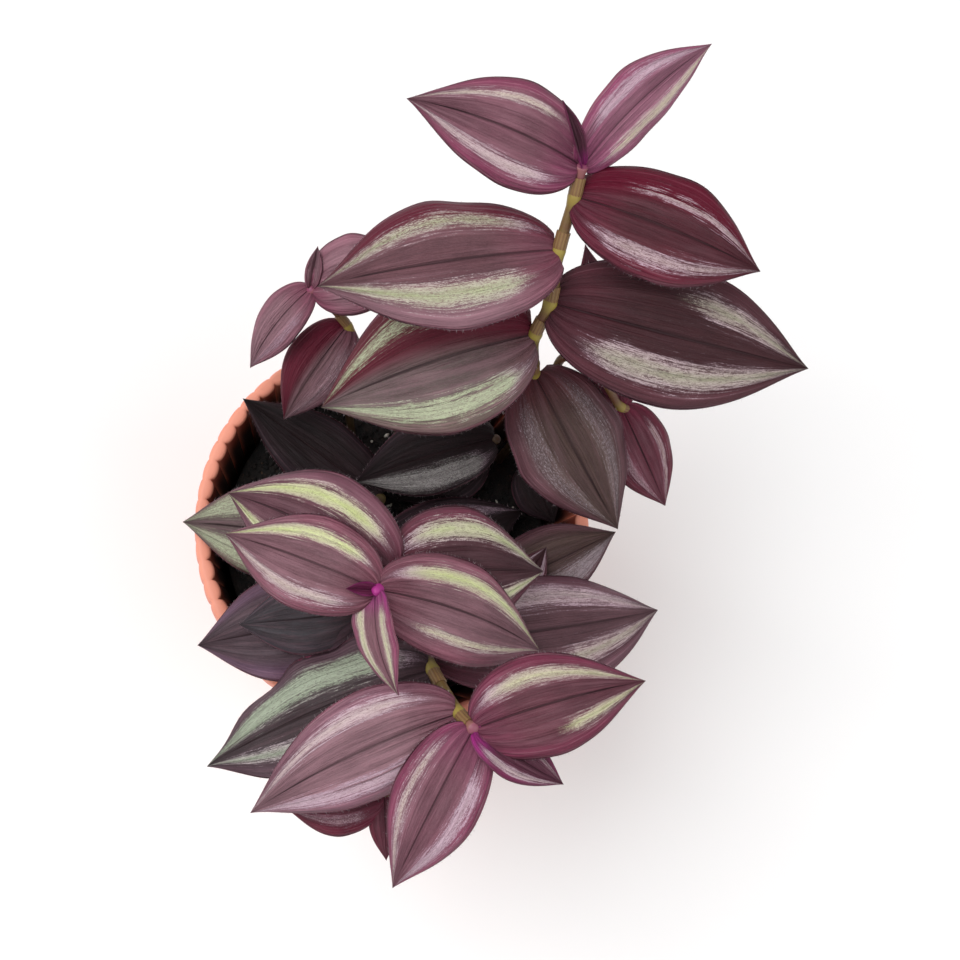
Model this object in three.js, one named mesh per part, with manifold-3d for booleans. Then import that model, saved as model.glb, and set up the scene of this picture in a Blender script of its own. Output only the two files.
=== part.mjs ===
// Potted tradescantia: a fluted plastic pot, its soil and the leafy stems that stand in it.
// Millimetres, +Z up, origin on the pot's axis at the underside of its foot.
import * as THREE from "three";
import { mergeVertices } from "three/addons/utils/BufferGeometryUtils.js";
import Module from "manifold-3d";

const wasm = await Module();
wasm.setup();

// Pot
const POT_HEIGHT = 85;
const RIM_RADIUS = 49.4;
const FOOT_RADIUS = 35;
const FLUTES = 60;
const SIDES_PER_FLUTE = 3;
const FLUTE_DEPTH = 1.1;
const WALL = 1.8;
const RIM_BAND = 2.4;
const RIM_DEPTH = 7;
const FLOOR_TOP = 4;
const FOOT_RECESS = 1.5;
const DRAIN_HOLES = 6;
const DRAIN_RADIUS = 3.5;
const DRAIN_CIRCLE = 21;

// Soil
const SOIL_TOP = 69;
const SOIL_GAP = 0.3;
const SOIL_SIDES = 48;
const SOIL_RINGS = 6;
const SOIL_UNEVEN = 1.1;
const HOLE_CLEARANCE = 0.35;
const STEM_DEPTH = 16;
const STEM_START = 72;

// Leaves and stems
const BLADE = 0.7;
const BASE_LOBE = 0.015;
const TIP_POINT = 0.35;
const STEM_SIDES = 8;
const SHEATH_LENGTH = 4;
const SHEATH_EXTRA = 0.5;
const DEG = Math.PI / 180;

// A seeded random series, 0 to 1.
function series(seed) {
  let state = seed;
  return () => {
    state = (state * 1664525 + 1013904223) % 4294967296;
    return state / 4294967296;
  };
}

function geometryOf(points, faces) {
  const geometry = new THREE.BufferGeometry();
  const flat = points.flatMap((p) => [p.x, p.y, p.z]);
  geometry.setAttribute("position", new THREE.Float32BufferAttribute(flat, 3));
  geometry.setIndex(faces.flat());
  return geometry;
}

function solidOf(geometry) {
  const bare = new THREE.BufferGeometry();
  bare.setAttribute("position", geometry.getAttribute("position"));
  bare.setIndex(geometry.getIndex());
  const merged = mergeVertices(bare, 1e-3);
  return new wasm.Manifold(
    new wasm.Mesh({
      numProp: 3,
      vertProperties: merged.attributes.position.array,
      triVerts: new Uint32Array(merged.index.array),
    }),
  );
}

function meshOf(solid, name, material) {
  const made = solid.getMesh();
  const stride = made.numProp;
  const positions = new Float32Array(made.numVert * 3);
  for (let i = 0; i < made.numVert; i++) {
    positions.set(made.vertProperties.subarray(i * stride, i * stride + 3), i * 3);
  }
  const geometry = new THREE.BufferGeometry();
  geometry.setAttribute("position", new THREE.BufferAttribute(positions, 3));
  geometry.setIndex(new THREE.BufferAttribute(made.triVerts, 1));
  geometry.computeVertexNormals();
  const mesh = new THREE.Mesh(geometry, material);
  mesh.name = name;
  return mesh;
}

// Closed surface through rings of equal length, with a fan at each end.
function closedRings(rings) {
  const points = rings.flat();
  const count = rings[0].length;
  const faces = [];
  for (let r = 0; r + 1 < rings.length; r++) {
    for (let i = 0; i < count; i++) {
      const a = r * count + i;
      const b = r * count + ((i + 1) % count);
      faces.push([a, b, b + count], [a, b + count, a + count]);
    }
  }
  const centre = (ring) =>
    ring.reduce((sum, p) => sum.add(p), new THREE.Vector3()).divideScalar(ring.length);
  const first = points.push(centre(rings[0])) - 1;
  const last = points.push(centre(rings[rings.length - 1])) - 1;
  const base = (rings.length - 1) * count;
  for (let i = 0; i < count; i++) {
    const next = (i + 1) % count;
    faces.push([first, next, i], [last, base + i, base + next]);
  }
  return geometryOf(points, faces);
}

// The flutes bulge towards the axis and meet in sharp notches: 0 at a notch, 1 on the crest.
function fluteShare(index) {
  return [0, 1, 1][index % SIDES_PER_FLUTE];
}

function wallRadius(z) {
  const share = z / POT_HEIGHT;
  return FOOT_RADIUS + (RIM_RADIUS - RIM_BAND + 0.6 - FOOT_RADIUS) * share;
}

function ringAt(radius, z, depth) {
  const count = FLUTES * SIDES_PER_FLUTE;
  return Array.from({ length: count }, (_, i) => {
    const angle = (i / count) * 2 * Math.PI;
    const r = radius - depth * fluteShare(i);
    return new THREE.Vector3(r * Math.cos(angle), r * Math.sin(angle), z);
  });
}

function makePot() {
  const lipFoot = POT_HEIGHT - RIM_DEPTH;
  const outline = [
    ringAt(FOOT_RADIUS, 0, 0),
    ringAt(wallRadius(lipFoot), lipFoot, -0.6),
    ringAt(RIM_RADIUS - 0.4, lipFoot + 0.8, -0.4),
    ringAt(RIM_RADIUS - 0.4, POT_HEIGHT - 0.6, -0.4),
    ringAt(RIM_RADIUS - RIM_BAND + 0.4, POT_HEIGHT, FLUTE_DEPTH - 0.3),
    ringAt(RIM_RADIUS - RIM_BAND, POT_HEIGHT - 0.8, FLUTE_DEPTH),
    ringAt(wallRadius(FLOOR_TOP) - WALL, FLOOR_TOP, 0.5),
  ];
  let pot = solidOf(closedRings(outline));
  const recess = new THREE.CylinderGeometry(FOOT_RADIUS - 4, FOOT_RADIUS - 4, 2 * FOOT_RECESS, 48);
  recess.rotateX(Math.PI / 2);
  const hub = new THREE.CylinderGeometry(9, 9, 2 * FOOT_RECESS + 1, 24);
  hub.rotateX(Math.PI / 2);
  pot = pot.subtract(solidOf(recess).subtract(solidOf(hub)));
  for (let i = 0; i < DRAIN_HOLES; i++) {
    const hole = new THREE.CylinderGeometry(DRAIN_RADIUS, DRAIN_RADIUS, 20, 16);
    hole.rotateX(Math.PI / 2);
    const angle = (i / DRAIN_HOLES) * 2 * Math.PI;
    hole.translate(DRAIN_CIRCLE * Math.cos(angle), DRAIN_CIRCLE * Math.sin(angle), 0);
    pot = pot.subtract(solidOf(hole));
  }
  return pot;
}

function soilRadius(z) {
  return wallRadius(z) - WALL - FLUTE_DEPTH - SOIL_GAP;
}

// A filled cone with a lightly uneven top.
function makeSoil() {
  const random = series(7);
  const circle = (radius, z, uneven) =>
    Array.from({ length: SOIL_SIDES }, (_, i) => {
      const angle = (i / SOIL_SIDES) * 2 * Math.PI;
      const lift = uneven * (random() - 0.5);
      return new THREE.Vector3(radius * Math.cos(angle), radius * Math.sin(angle), z + lift);
    });
  const bottom = FLOOR_TOP + SOIL_GAP;
  const rings = [circle(soilRadius(bottom), bottom, 0), circle(soilRadius(SOIL_TOP - 1), SOIL_TOP - 1, 0)];
  for (let i = 0; i < SOIL_RINGS; i++) {
    const share = 1 - i / SOIL_RINGS;
    const crown = 1.6 * (1 - share * share);
    rings.push(circle((soilRadius(SOIL_TOP) - 0.8) * share, SOIL_TOP + crown, SOIL_UNEVEN));
  }
  return solidOf(closedRings(rings));
}

// The frame of a leaf along its midrib: where it is, which way it runs, and its two cross directions.
function leafFrame(leaf, base, u) {
  const heading = leaf.heading * DEG;
  const rise = leaf.rise * DEG;
  const droop = (leaf.droop || 0.5) * DEG;
  const roll = leaf.roll * DEG;
  const run = new THREE.Vector3(
    Math.cos(rise) * Math.cos(heading),
    Math.cos(rise) * Math.sin(heading),
    Math.sin(rise),
  );
  const side = new THREE.Vector3(-Math.sin(heading), Math.cos(heading), 0);
  const up = new THREE.Vector3().crossVectors(run, side);
  const bend = droop * u;
  const along = Math.sin(bend) / droop;
  const fall = (1 - Math.cos(bend)) / droop;
  const point = base
    .clone()
    .addScaledVector(run, leaf.length * along)
    .addScaledVector(up, -leaf.length * fall)
    .addScaledVector(side, leaf.length * (leaf.sweep || 0) * u * u);
  const normal = run.clone().multiplyScalar(Math.sin(bend)).addScaledVector(up, Math.cos(bend));
  const across = side.clone().multiplyScalar(Math.cos(roll)).addScaledVector(normal, Math.sin(roll));
  const face = side.clone().multiplyScalar(-Math.sin(roll)).addScaledVector(normal, Math.cos(roll));
  const tangent = run.clone().multiplyScalar(Math.cos(bend)).addScaledVector(up, -Math.sin(bend));
  return { point, tangent, across, face };
}

// Half width as a share of the greatest: an elliptic base up to the belly, then drawn out to the tip.
function widthShare(u, belly) {
  const below = Math.max(0, 1 - u / belly);
  const beyond = Math.max(0, (u - belly) / (1 - belly));
  const round = Math.pow(1 - below * below, 0.42) * (1 - Math.pow(beyond, 1.8));
  return round * (1 - TIP_POINT * Math.pow(beyond, 4));
}

// Each half of a blade bulges upwards from the midrib, and the margins turn down.
function bladePoint(leaf, frame, u, v, lift) {
  const half = (leaf.width / 2) * widthShare(u, leaf.belly ?? 0.42);
  const fold = (leaf.fold ?? 20) * DEG;
  const wave = 0.05 * Math.abs(v) * Math.sin(9 * u + 3 * v + leaf.heading);
  const sideways = half * v * Math.cos(fold);
  const height = half * (Math.abs(v) * Math.sin(fold) - 0.42 * v * v + wave) + lift;
  const lobe = leaf.length * BASE_LOBE * v * v * Math.pow(1 - u, 4);
  return frame.point
    .clone()
    .addScaledVector(frame.tangent, -lobe)
    .addScaledVector(frame.across, sideways)
    .addScaledVector(frame.face, height);
}

// A blade of even thickness, split into triangles alike on both faces.
function makeLeaf(leaf, base) {
  const small = leaf.length < 30;
  const stations = small ? [0.01, 0.12, 0.32, 0.55, 0.8] : [0.01, 0.09, 0.22, 0.4, 0.6, 0.79, 0.92];
  const columns = [-1, -0.5, 0, 0.5, 1];
  const points = [];
  const layer = (lift) => {
    const start = points.length;
    for (const u of stations) {
      const frame = leafFrame(leaf, base, u);
      for (const v of columns) points.push(bladePoint(leaf, frame, u, v, lift));
    }
    points.push(bladePoint(leaf, leafFrame(leaf, base, 1), 1, 0, lift));
    return start;
  };
  const top = layer(BLADE / 2);
  const under = layer(-BLADE / 2);
  const m = columns.length;
  const n = stations.length;
  const faces = [];
  const pair = (a, b, c) => {
    faces.push([top + a, top + b, top + c]);
    faces.push([under + a, under + c, under + b]);
  };
  for (let i = 0; i + 1 < n; i++) {
    for (let j = 0; j + 1 < m; j++) {
      const a = i * m + j;
      pair(a, a + m, a + m + 1);
      pair(a, a + m + 1, a + 1);
    }
  }
  const tip = n * m;
  for (let j = 0; j + 1 < m; j++) {
    const a = (n - 1) * m + j;
    pair(a, tip, a + 1);
  }
  const rim = [];
  for (let j = 0; j < m; j++) rim.push(j);
  for (let i = 1; i < n; i++) rim.push(i * m + m - 1);
  rim.push(tip);
  for (let i = n - 1; i > 0; i--) rim.push(i * m);
  for (let k = 0; k < rim.length; k++) {
    const a = rim[k];
    const b = rim[(k + 1) % rim.length];
    faces.push([top + a, top + b, under + b], [top + a, under + b, under + a]);
  }
  return solidOf(geometryOf(points, faces));
}

function tubeRings(curve, from, to, steps, radiusAt) {
  const rings = [];
  for (let i = 0; i <= steps; i++) {
    const t = from + ((to - from) * i) / steps;
    const centre = curve.getPoint(t);
    const axis = curve.getTangent(t);
    const side = new THREE.Vector3(1, 0, 0).addScaledVector(axis, -axis.x).normalize();
    const other = new THREE.Vector3().crossVectors(axis, side);
    rings.push(
      Array.from({ length: STEM_SIDES }, (_, k) => {
        const angle = (k / STEM_SIDES) * 2 * Math.PI;
        return centre
          .clone()
          .addScaledVector(side, radiusAt(i / steps) * Math.cos(angle))
          .addScaledVector(other, radiusAt(i / steps) * Math.sin(angle));
      }),
    );
  }
  return rings;
}

// A stem through its joints, with the buried end below the first of them.
function stemCurve(stem) {
  const points = stem.joints.map((joint) => new THREE.Vector3(...joint));
  return new THREE.CatmullRomCurve3(points, false, "centripetal");
}

// Buried ends stand upright in plain holes.
function buriedEnd(stem, extra) {
  const [x, y] = stem.joints[0];
  const top = STEM_START + 0.6 + 2 * extra;
  const bottom = SOIL_TOP - STEM_DEPTH - extra;
  const radius = stem.radius + 0.25 + extra;
  const peg = new THREE.CylinderGeometry(radius, radius, top - bottom, STEM_SIDES + 2);
  peg.rotateX(Math.PI / 2);
  peg.translate(x, y, (top + bottom) / 2);
  return solidOf(peg);
}

// A pocket shut in where parts join has a negative volume, and is filled.
function withoutPockets(solid) {
  return wasm.Manifold.compose(solid.decompose().filter((body) => body.volume() > 0));
}

function makeStem(stem) {
  const curve = stemCurve(stem);
  const steps = 2 * (stem.joints.length - 1);
  const taper = (share) => stem.radius * (1 - 0.25 * share);
  const bud = new THREE.IcosahedronGeometry(stem.radius);
  bud.translate(...curve.getPoint(1).toArray());
  const stalk = solidOf(closedRings(tubeRings(curve, 0, 1, steps, taper)));
  const parts = [stalk, solidOf(bud), buriedEnd(stem, 0)];
  for (const leaf of stem.leaves) {
    const place = leaf.joint / (stem.joints.length - 1);
    const base = curve.getPoint(place);
    parts.push(makeLeaf(leaf, base));
    if (leaf.joint < stem.joints.length - 1) {
      const next = curve.getPoint(place + 1 / (stem.joints.length - 1));
      const share = Math.min(0.8, SHEATH_LENGTH / next.distanceTo(base));
      const end = place + share / (stem.joints.length - 1);
      const sheath = () => stem.radius + SHEATH_EXTRA;
      parts.push(solidOf(closedRings(tubeRings(curve, place, end, 1, sheath))));
    }
  }
  return withoutPockets(parts.reduce((sum, part) => sum.add(part)));
}

// One row per leaf: the joint it grows from, the way it heads and rises in degrees, its length and
// width, its roll about the midrib and how far it droops along its length in degrees.
const stems = [
  {
    name: "stem_back",
    radius: 1.5,
    joints: [
      [17, 33, 72],
      [13, 35, 84],
      [-1, 41, 117],
      [-6, 40, 136],
      [-8, 45, 142],
      [-14, 52, 149],
      [-19, 60, 156],
      [-22, 64, 160],
    ],
    leaves: [
      {
        joint: 1, heading: -18, rise: -12, length: 17, width: 15,
        roll: 0, droop: 5, sweep: 0, belly: 0.44,
      },
      {
        joint: 2, heading: -17, rise: -10, length: 43, width: 30,
        roll: 4, droop: 10, sweep: 0.05, belly: 0.45,
      },
      {
        joint: 3, heading: -124, rise: -5, length: 50, width: 36,
        roll: -18, droop: 22, sweep: 0.08, belly: 0.42,
      },
      {
        joint: 4, heading: 29, rise: 2, length: 62, width: 34,
        roll: 16, droop: 9, sweep: 0.06, belly: 0.49,
      },
      {
        joint: 5, heading: -127, rise: 8, length: 53, width: 32,
        roll: 6, droop: 10, sweep: 0.06, belly: 0.48,
      },
      {
        joint: 6, heading: 24, rise: 12, length: 44, width: 26,
        roll: 10, droop: 27, sweep: 0.01, belly: 0.48,
      },
      {
        joint: 7, heading: -157, rise: 18, length: 39, width: 24,
        roll: -13, droop: 32, sweep: 0.05, belly: 0.38,
      },
      {
        joint: 7, heading: 97, rise: 15, length: 39, width: 17,
        roll: 38, droop: 9, sweep: -0.17, belly: 0.46,
      },
      {
        joint: 7, heading: 175, rise: 49, length: 16, width: 8,
        roll: 0, droop: 0, fold: 65,
      },
    ],
  },
  {
    name: "stem_back_left",
    radius: 1.1,
    joints: [
      [-25, 12, 72],
      [-31, 15, 86],
      [-36, 21, 101],
      [-41, 22, 106],
      [-52, 20, 113],
    ],
    leaves: [
      {
        joint: 3, heading: -86, rise: -18, length: 28, width: 17,
        roll: -10, droop: 22, sweep: 0.06, belly: 0.44,
      },
      {
        joint: 4, heading: 56, rise: 33, length: 24, width: 20,
        roll: 10, droop: 18, sweep: 0, belly: 0.47,
      },
      {
        joint: 4, heading: -98, rise: -22, length: 25, width: 12,
        roll: 0, droop: 32, sweep: 0.14, belly: 0.43,
      },
      {
        joint: 4, heading: 125, rise: 28, length: 10, width: 8,
        roll: 0, droop: 0, fold: 60,
      },
    ],
  },
  {
    name: "stem_back_right",
    radius: 1.2,
    joints: [
      [7, 36, 72],
      [6, 41, 92],
      [3, 47, 108],
      [2, 50, 116],
      [11, 52, 117],
      [20, 53, 110],
      [23, 56, 108],
    ],
    leaves: [
      {
        joint: 5, heading: 150, rise: 23, length: 40, width: 17,
        roll: 0, droop: 10, sweep: 0, belly: 0.42,
      },
      {
        joint: 5, heading: -16, rise: -16, length: 28, width: 18,
        roll: 4, droop: 12, sweep: 0.02, belly: 0.45,
      },
    ],
  },
  {
    name: "stem_front",
    radius: 1.4,
    joints: [
      [1, -8, 72],
      [3, -12, 86],
      [6, -18, 108],
      [7, -19, 125],
      [7, -25, 132],
    ],
    leaves: [
      {
        joint: 1, heading: 66, rise: -7, length: 44, width: 24,
        roll: 0, droop: 8, sweep: 0, belly: 0.44,
      },
      {
        joint: 3, heading: -174, rise: -7, length: 43, width: 28,
        roll: -24, droop: 28, sweep: 0.1, belly: 0.45,
      },
      {
        joint: 3, heading: 50, rise: -9, length: 39, width: 31,
        roll: 8, droop: 18, sweep: -0.04, belly: 0.42,
      },
      {
        joint: 4, heading: -163, rise: -4, length: 34, width: 22,
        roll: -8, droop: 11, sweep: 0.07, belly: 0.44,
      },
      {
        joint: 4, heading: 37, rise: -16, length: 46, width: 24,
        roll: 6, droop: 22, sweep: -0.14, belly: 0.46,
      },
      {
        joint: 4, heading: -46, rise: -4, length: 22, width: 12,
        roll: 20, droop: -8, sweep: 0.12, belly: 0.44, fold: 35,
      },
    ],
  },
  {
    name: "stem_front_right",
    radius: 1.5,
    joints: [
      [15, -9, 72],
      [18, -15, 88],
      [23, -21, 104],
      [28, -26, 114],
      [38, -30, 120],
      [42, -31, 124],
    ],
    leaves: [
      {
        joint: 2, heading: 47, rise: -1, length: 65, width: 33,
        roll: -18, droop: 24, sweep: 0.08, belly: 0.5,
      },
      {
        joint: 3, heading: -122, rise: -15, length: 57, width: 30,
        roll: 18, droop: 20, sweep: 0.11, belly: 0.43,
      },
      {
        joint: 4, heading: -121, rise: -12, length: 51, width: 26,
        roll: -18, droop: 20, sweep: 0.14, belly: 0.42,
      },
      {
        joint: 5, heading: 63, rise: 14, length: 38, width: 24,
        roll: 6, droop: 6, sweep: -0.1, belly: 0.41,
      },
      {
        joint: 5, heading: -75, rise: -18, length: 40, width: 21,
        roll: 10, droop: 14, sweep: 0.05, belly: 0.44,
      },
      {
        joint: 5, heading: 9, rise: -8, length: 24, width: 14,
        roll: 10, droop: 4, sweep: 0.06, belly: 0.43, fold: 50,
      },
    ],
  },
  {
    name: "stem_right",
    radius: 1.3,
    joints: [
      [27, 7, 72],
      [28, 4, 83],
      [33, 5, 87],
    ],
    leaves: [
      {
        joint: 1, heading: 67, rise: 20, length: 35, width: 21,
        roll: -2, droop: 8, sweep: 0.01, belly: 0.45,
      },
      {
        joint: 2, heading: 100, rise: 19, length: 16, width: 13,
        roll: -4, droop: 0, sweep: 0, belly: 0.4, fold: 45,
      },
    ],
  },
  {
    name: "stem_left",
    radius: 1.3,
    joints: [
      [-8, 4, 72],
      [-8, 2, 83],
      [-6, -14, 90],
      [7, -25, 94],
    ],
    leaves: [
      {
        joint: 1, heading: 188, rise: 12, length: 42, width: 21,
        roll: 0, droop: 14, sweep: 0, belly: 0.42,
      },
      {
        joint: 2, heading: -148, rise: 12, length: 39, width: 27,
        roll: -24, droop: 28, sweep: 0.05, belly: 0.43,
      },
      {
        joint: 3, heading: -126, rise: -1, length: 37, width: 27,
        roll: 4, droop: 8, sweep: 0, belly: 0.45,
      },
      {
        joint: 3, heading: -130, rise: 13, length: 28, width: 18,
        roll: -3, droop: 2, sweep: 0, belly: 0.44,
      },
    ],
  },
  {
    name: "stem_middle",
    radius: 1.2,
    joints: [
      [1, 30, 72],
      [2, 31, 82],
      [3, 32, 91],
    ],
    leaves: [
      {
        joint: 1, heading: -106, rise: -12, length: 26, width: 20,
        roll: 0, droop: 6, sweep: 0, belly: 0.44,
      },
      {
        joint: 2, heading: -124, rise: 0, length: 37, width: 21,
        roll: -12, droop: 18, sweep: 0.07, belly: 0.46,
      },
    ],
  },
  {
    name: "stem_low",
    radius: 1.2,
    joints: [
      [27, -11, 72],
      [32, -26, 88],
      [36, -41, 95],
      [40, -51, 94],
    ],
    leaves: [
      {
        joint: 3, heading: -131, rise: 10, length: 23, width: 17,
        roll: -4, droop: 2, sweep: 0, belly: 0.46,
      },
      {
        joint: 3, heading: -44, rise: -9, length: 15, width: 8,
        roll: 0, droop: 0, sweep: 0, belly: 0.4,
      },
    ],
  },
  {
    name: "stem_far",
    radius: 1.2,
    joints: [
      [-16, 19, 72],
      [-19, 24, 88],
      [-21, 31, 100],
      [-22, 39, 108],
    ],
    leaves: [
      {
        joint: 2, heading: 40, rise: 0, length: 20, width: 16,
        roll: 0, droop: 12, sweep: 0, belly: 0.44,
      },
      {
        joint: 3, heading: 147, rise: 5, length: 25, width: 17,
        roll: 0, droop: 12, sweep: 0, belly: 0.44,
      },
      {
        joint: 3, heading: 92, rise: 15, length: 23, width: 13,
        roll: 0, droop: 10, sweep: 0, belly: 0.42,
      },
    ],
  },
];

const materials = {
  pot: new THREE.MeshStandardMaterial({ color: 0xf0b8a6, roughness: 0.55 }),
  soil: new THREE.MeshStandardMaterial({ color: 0x1c1712, roughness: 1 }),
  plant: new THREE.MeshStandardMaterial({ color: 0x6b3d4e, roughness: 0.6 }),
};

const group = new THREE.Group();
group.name = "potted_tradescantia";
group.add(meshOf(makePot(), "pot", materials.pot));
let soil = makeSoil();
for (const stem of stems) soil = soil.subtract(buriedEnd(stem, HOLE_CLEARANCE));
group.add(meshOf(soil, "soil", materials.soil));
for (const stem of stems) group.add(meshOf(makeStem(stem), stem.name, materials.plant));

export default group;
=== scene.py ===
"""Potted tradescantia: the looks of a fluted pot, its soil and the leafy stems that stand in it.

Sizes are in millimetres where a field says so and are turned into metres by MM.
"""

import logging
import math
import random
from dataclasses import dataclass, field, fields
from enum import Enum
from typing import Any, Callable, Optional, Sequence, Union

import bmesh
import bpy
from mathutils import Matrix, Vector


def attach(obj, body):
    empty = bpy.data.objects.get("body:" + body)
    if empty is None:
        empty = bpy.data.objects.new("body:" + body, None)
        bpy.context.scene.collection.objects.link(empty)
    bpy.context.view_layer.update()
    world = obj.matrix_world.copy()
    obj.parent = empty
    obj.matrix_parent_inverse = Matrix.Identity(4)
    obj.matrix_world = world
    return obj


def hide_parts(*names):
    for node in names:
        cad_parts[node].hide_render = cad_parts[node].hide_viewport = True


logging.basicConfig(level=logging.INFO, format="%(message)s")
LOG = logging.getLogger("tradescantia")

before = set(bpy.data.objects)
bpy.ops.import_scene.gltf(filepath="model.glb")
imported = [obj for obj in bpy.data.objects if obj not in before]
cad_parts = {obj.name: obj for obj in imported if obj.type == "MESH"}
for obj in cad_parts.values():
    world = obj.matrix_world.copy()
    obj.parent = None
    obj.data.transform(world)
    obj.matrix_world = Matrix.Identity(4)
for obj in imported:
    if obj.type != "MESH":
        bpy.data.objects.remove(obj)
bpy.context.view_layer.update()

MM = 0.001
DEG = math.pi / 180
SOIL_TOP = 69.0
JOINT_STEPS = 12
Colour = tuple[float, float, float, float]
Socket = bpy.types.NodeSocket
Mesh = bpy.types.Mesh
Ring = list[bmesh.types.BMVert]


def linear(red: int, green: int, blue: int) -> Colour:
    """Turn an sRGB colour, 0 to 255, into the linear colour that shaders use.

    Args:
        red: red, 0 to 255.
        green: green, 0 to 255.
        blue: blue, 0 to 255.

    Returns:
        The linear colour with full alpha.
    """
    parts = []
    for value in (red, green, blue):
        share = value / 255
        parts.append(share / 12.92 if share <= 0.04045 else ((share + 0.055) / 1.055) ** 2.4)
    return (parts[0], parts[1], parts[2], 1.0)


def operator(operation: str, swapped: bool = False) -> Callable[..., "Wire"]:
    """A method of a wire that adds one node over the wire and the values it is given.

    Args:
        operation: the node's operation.
        swapped: whether the wire stands after the other value.

    Returns:
        The method.
    """

    def method(wire: "Wire", *others: Any) -> "Wire":
        """Add the node."""
        values = (*others, wire) if swapped else (wire, *others)
        return wire.maker.combine(type(wire), operation, *values)

    return method


class Wire:
    """A value in a node tree: each operator or method on it adds one node."""

    node = ""

    def __init__(self, maker: "Maker", socket: Socket) -> None:
        """Keep the tree's maker and the socket that carries the value."""
        self.maker = maker
        self.socket = socket

    __add__, __radd__ = operator("ADD"), operator("ADD", True)
    __sub__, __rsub__ = operator("SUBTRACT"), operator("SUBTRACT", True)


class Term(Wire):
    """A number in a node tree."""

    node = "ShaderNodeMath"
    __mul__, __rmul__ = operator("MULTIPLY"), operator("MULTIPLY", True)
    __truediv__, __pow__, __abs__ = operator("DIVIDE"), operator("POWER"), operator("ABSOLUTE")
    sin, cos, modulo = operator("SINE"), operator("COSINE"), operator("MODULO")
    above, below = operator("MAXIMUM"), operator("MINIMUM")

    def __neg__(self) -> "Term":
        """Negative."""
        return self * -1.0

    def clamp(self) -> "Term":
        """Held between 0 and 1."""
        return self.above(0.0).below(1.0)

    def step(self, start: float, end: float) -> "Term":
        """A smooth step from 0 at start to 1 at end."""
        share = ((self - start) / (end - start)).clamp()
        return share * share * (3.0 - 2.0 * share)


class Arrow(Wire):
    """A vector in a node tree."""

    node = "ShaderNodeVectorMath"
    cross, unit = operator("CROSS_PRODUCT"), operator("NORMALIZE")

    def __mul__(self, amount: Any) -> "Arrow":
        """The vector scaled by a number."""
        sockets = {0: self, "Scale": amount}
        return Arrow(self.maker, self.maker.out(self.node, {"operation": "SCALE"}, sockets))


Value = Union[Wire, Socket, float, int, str, tuple, None]


class Maker:
    """Adds nodes to one tree, for a shader or for Geometry Nodes."""

    def __init__(self, tree: bpy.types.NodeTree) -> None:
        """Keep the tree."""
        self.tree = tree

    def put(self, value: Value, socket: Socket) -> None:
        """Link a value to a socket, or set it there when it is plain.

        Args:
            value: a term, an arrow, a socket or a plain value.
            socket: the socket that takes it.
        """
        value = getattr(value, "socket", value)
        if isinstance(value, Socket):
            self.tree.links.new(value, socket)
        elif value is not None:
            socket.default_value = value

    def node(
        self, kind: str, settings: Optional[dict[str, Any]] = None, sockets: Optional[dict[Any, Value]] = None
    ) -> bpy.types.Node:
        """Add one node.

        Args:
            kind: the node's type.
            settings: its properties, set before its sockets.
            sockets: values or links by socket name, identifier or index.

        Returns:
            The node.
        """
        node = self.tree.nodes.new(kind)
        for name, value in (settings or {}).items():
            setattr(node, name, value)
        for name, value in (sockets or {}).items():
            if isinstance(name, int):
                self.put(value, node.inputs[name])
                continue
            found = [s for s in node.inputs if s.identifier == name]
            found += [s for s in node.inputs if s.name == name and s.enabled]
            self.put(value, found[0])
        return node

    def out(
        self, kind: str, settings: Optional[dict[str, Any]] = None, sockets: Optional[dict[Any, Value]] = None
    ) -> Socket:
        """Add one node and give its first output."""
        return self.node(kind, settings, sockets).outputs[0]

    def combine(self, kind: type[Wire], operation: str, *values: Any) -> Wire:
        """Add the node of that kind of wire over the values."""
        return kind(self, self.out(kind.node, {"operation": operation}, dict(enumerate(values))))

    def xyz(self, x: Any, y: Any, z: Any) -> Arrow:
        """A vector from three numbers."""
        return Arrow(self, self.out("ShaderNodeCombineXYZ", None, {0: x, 1: y, 2: z}))

    def parts(self, arrow: Arrow) -> list[Term]:
        """The three numbers of a vector."""
        return [Term(self, socket) for socket in self.node("ShaderNodeSeparateXYZ", None, {0: arrow}).outputs]


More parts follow.
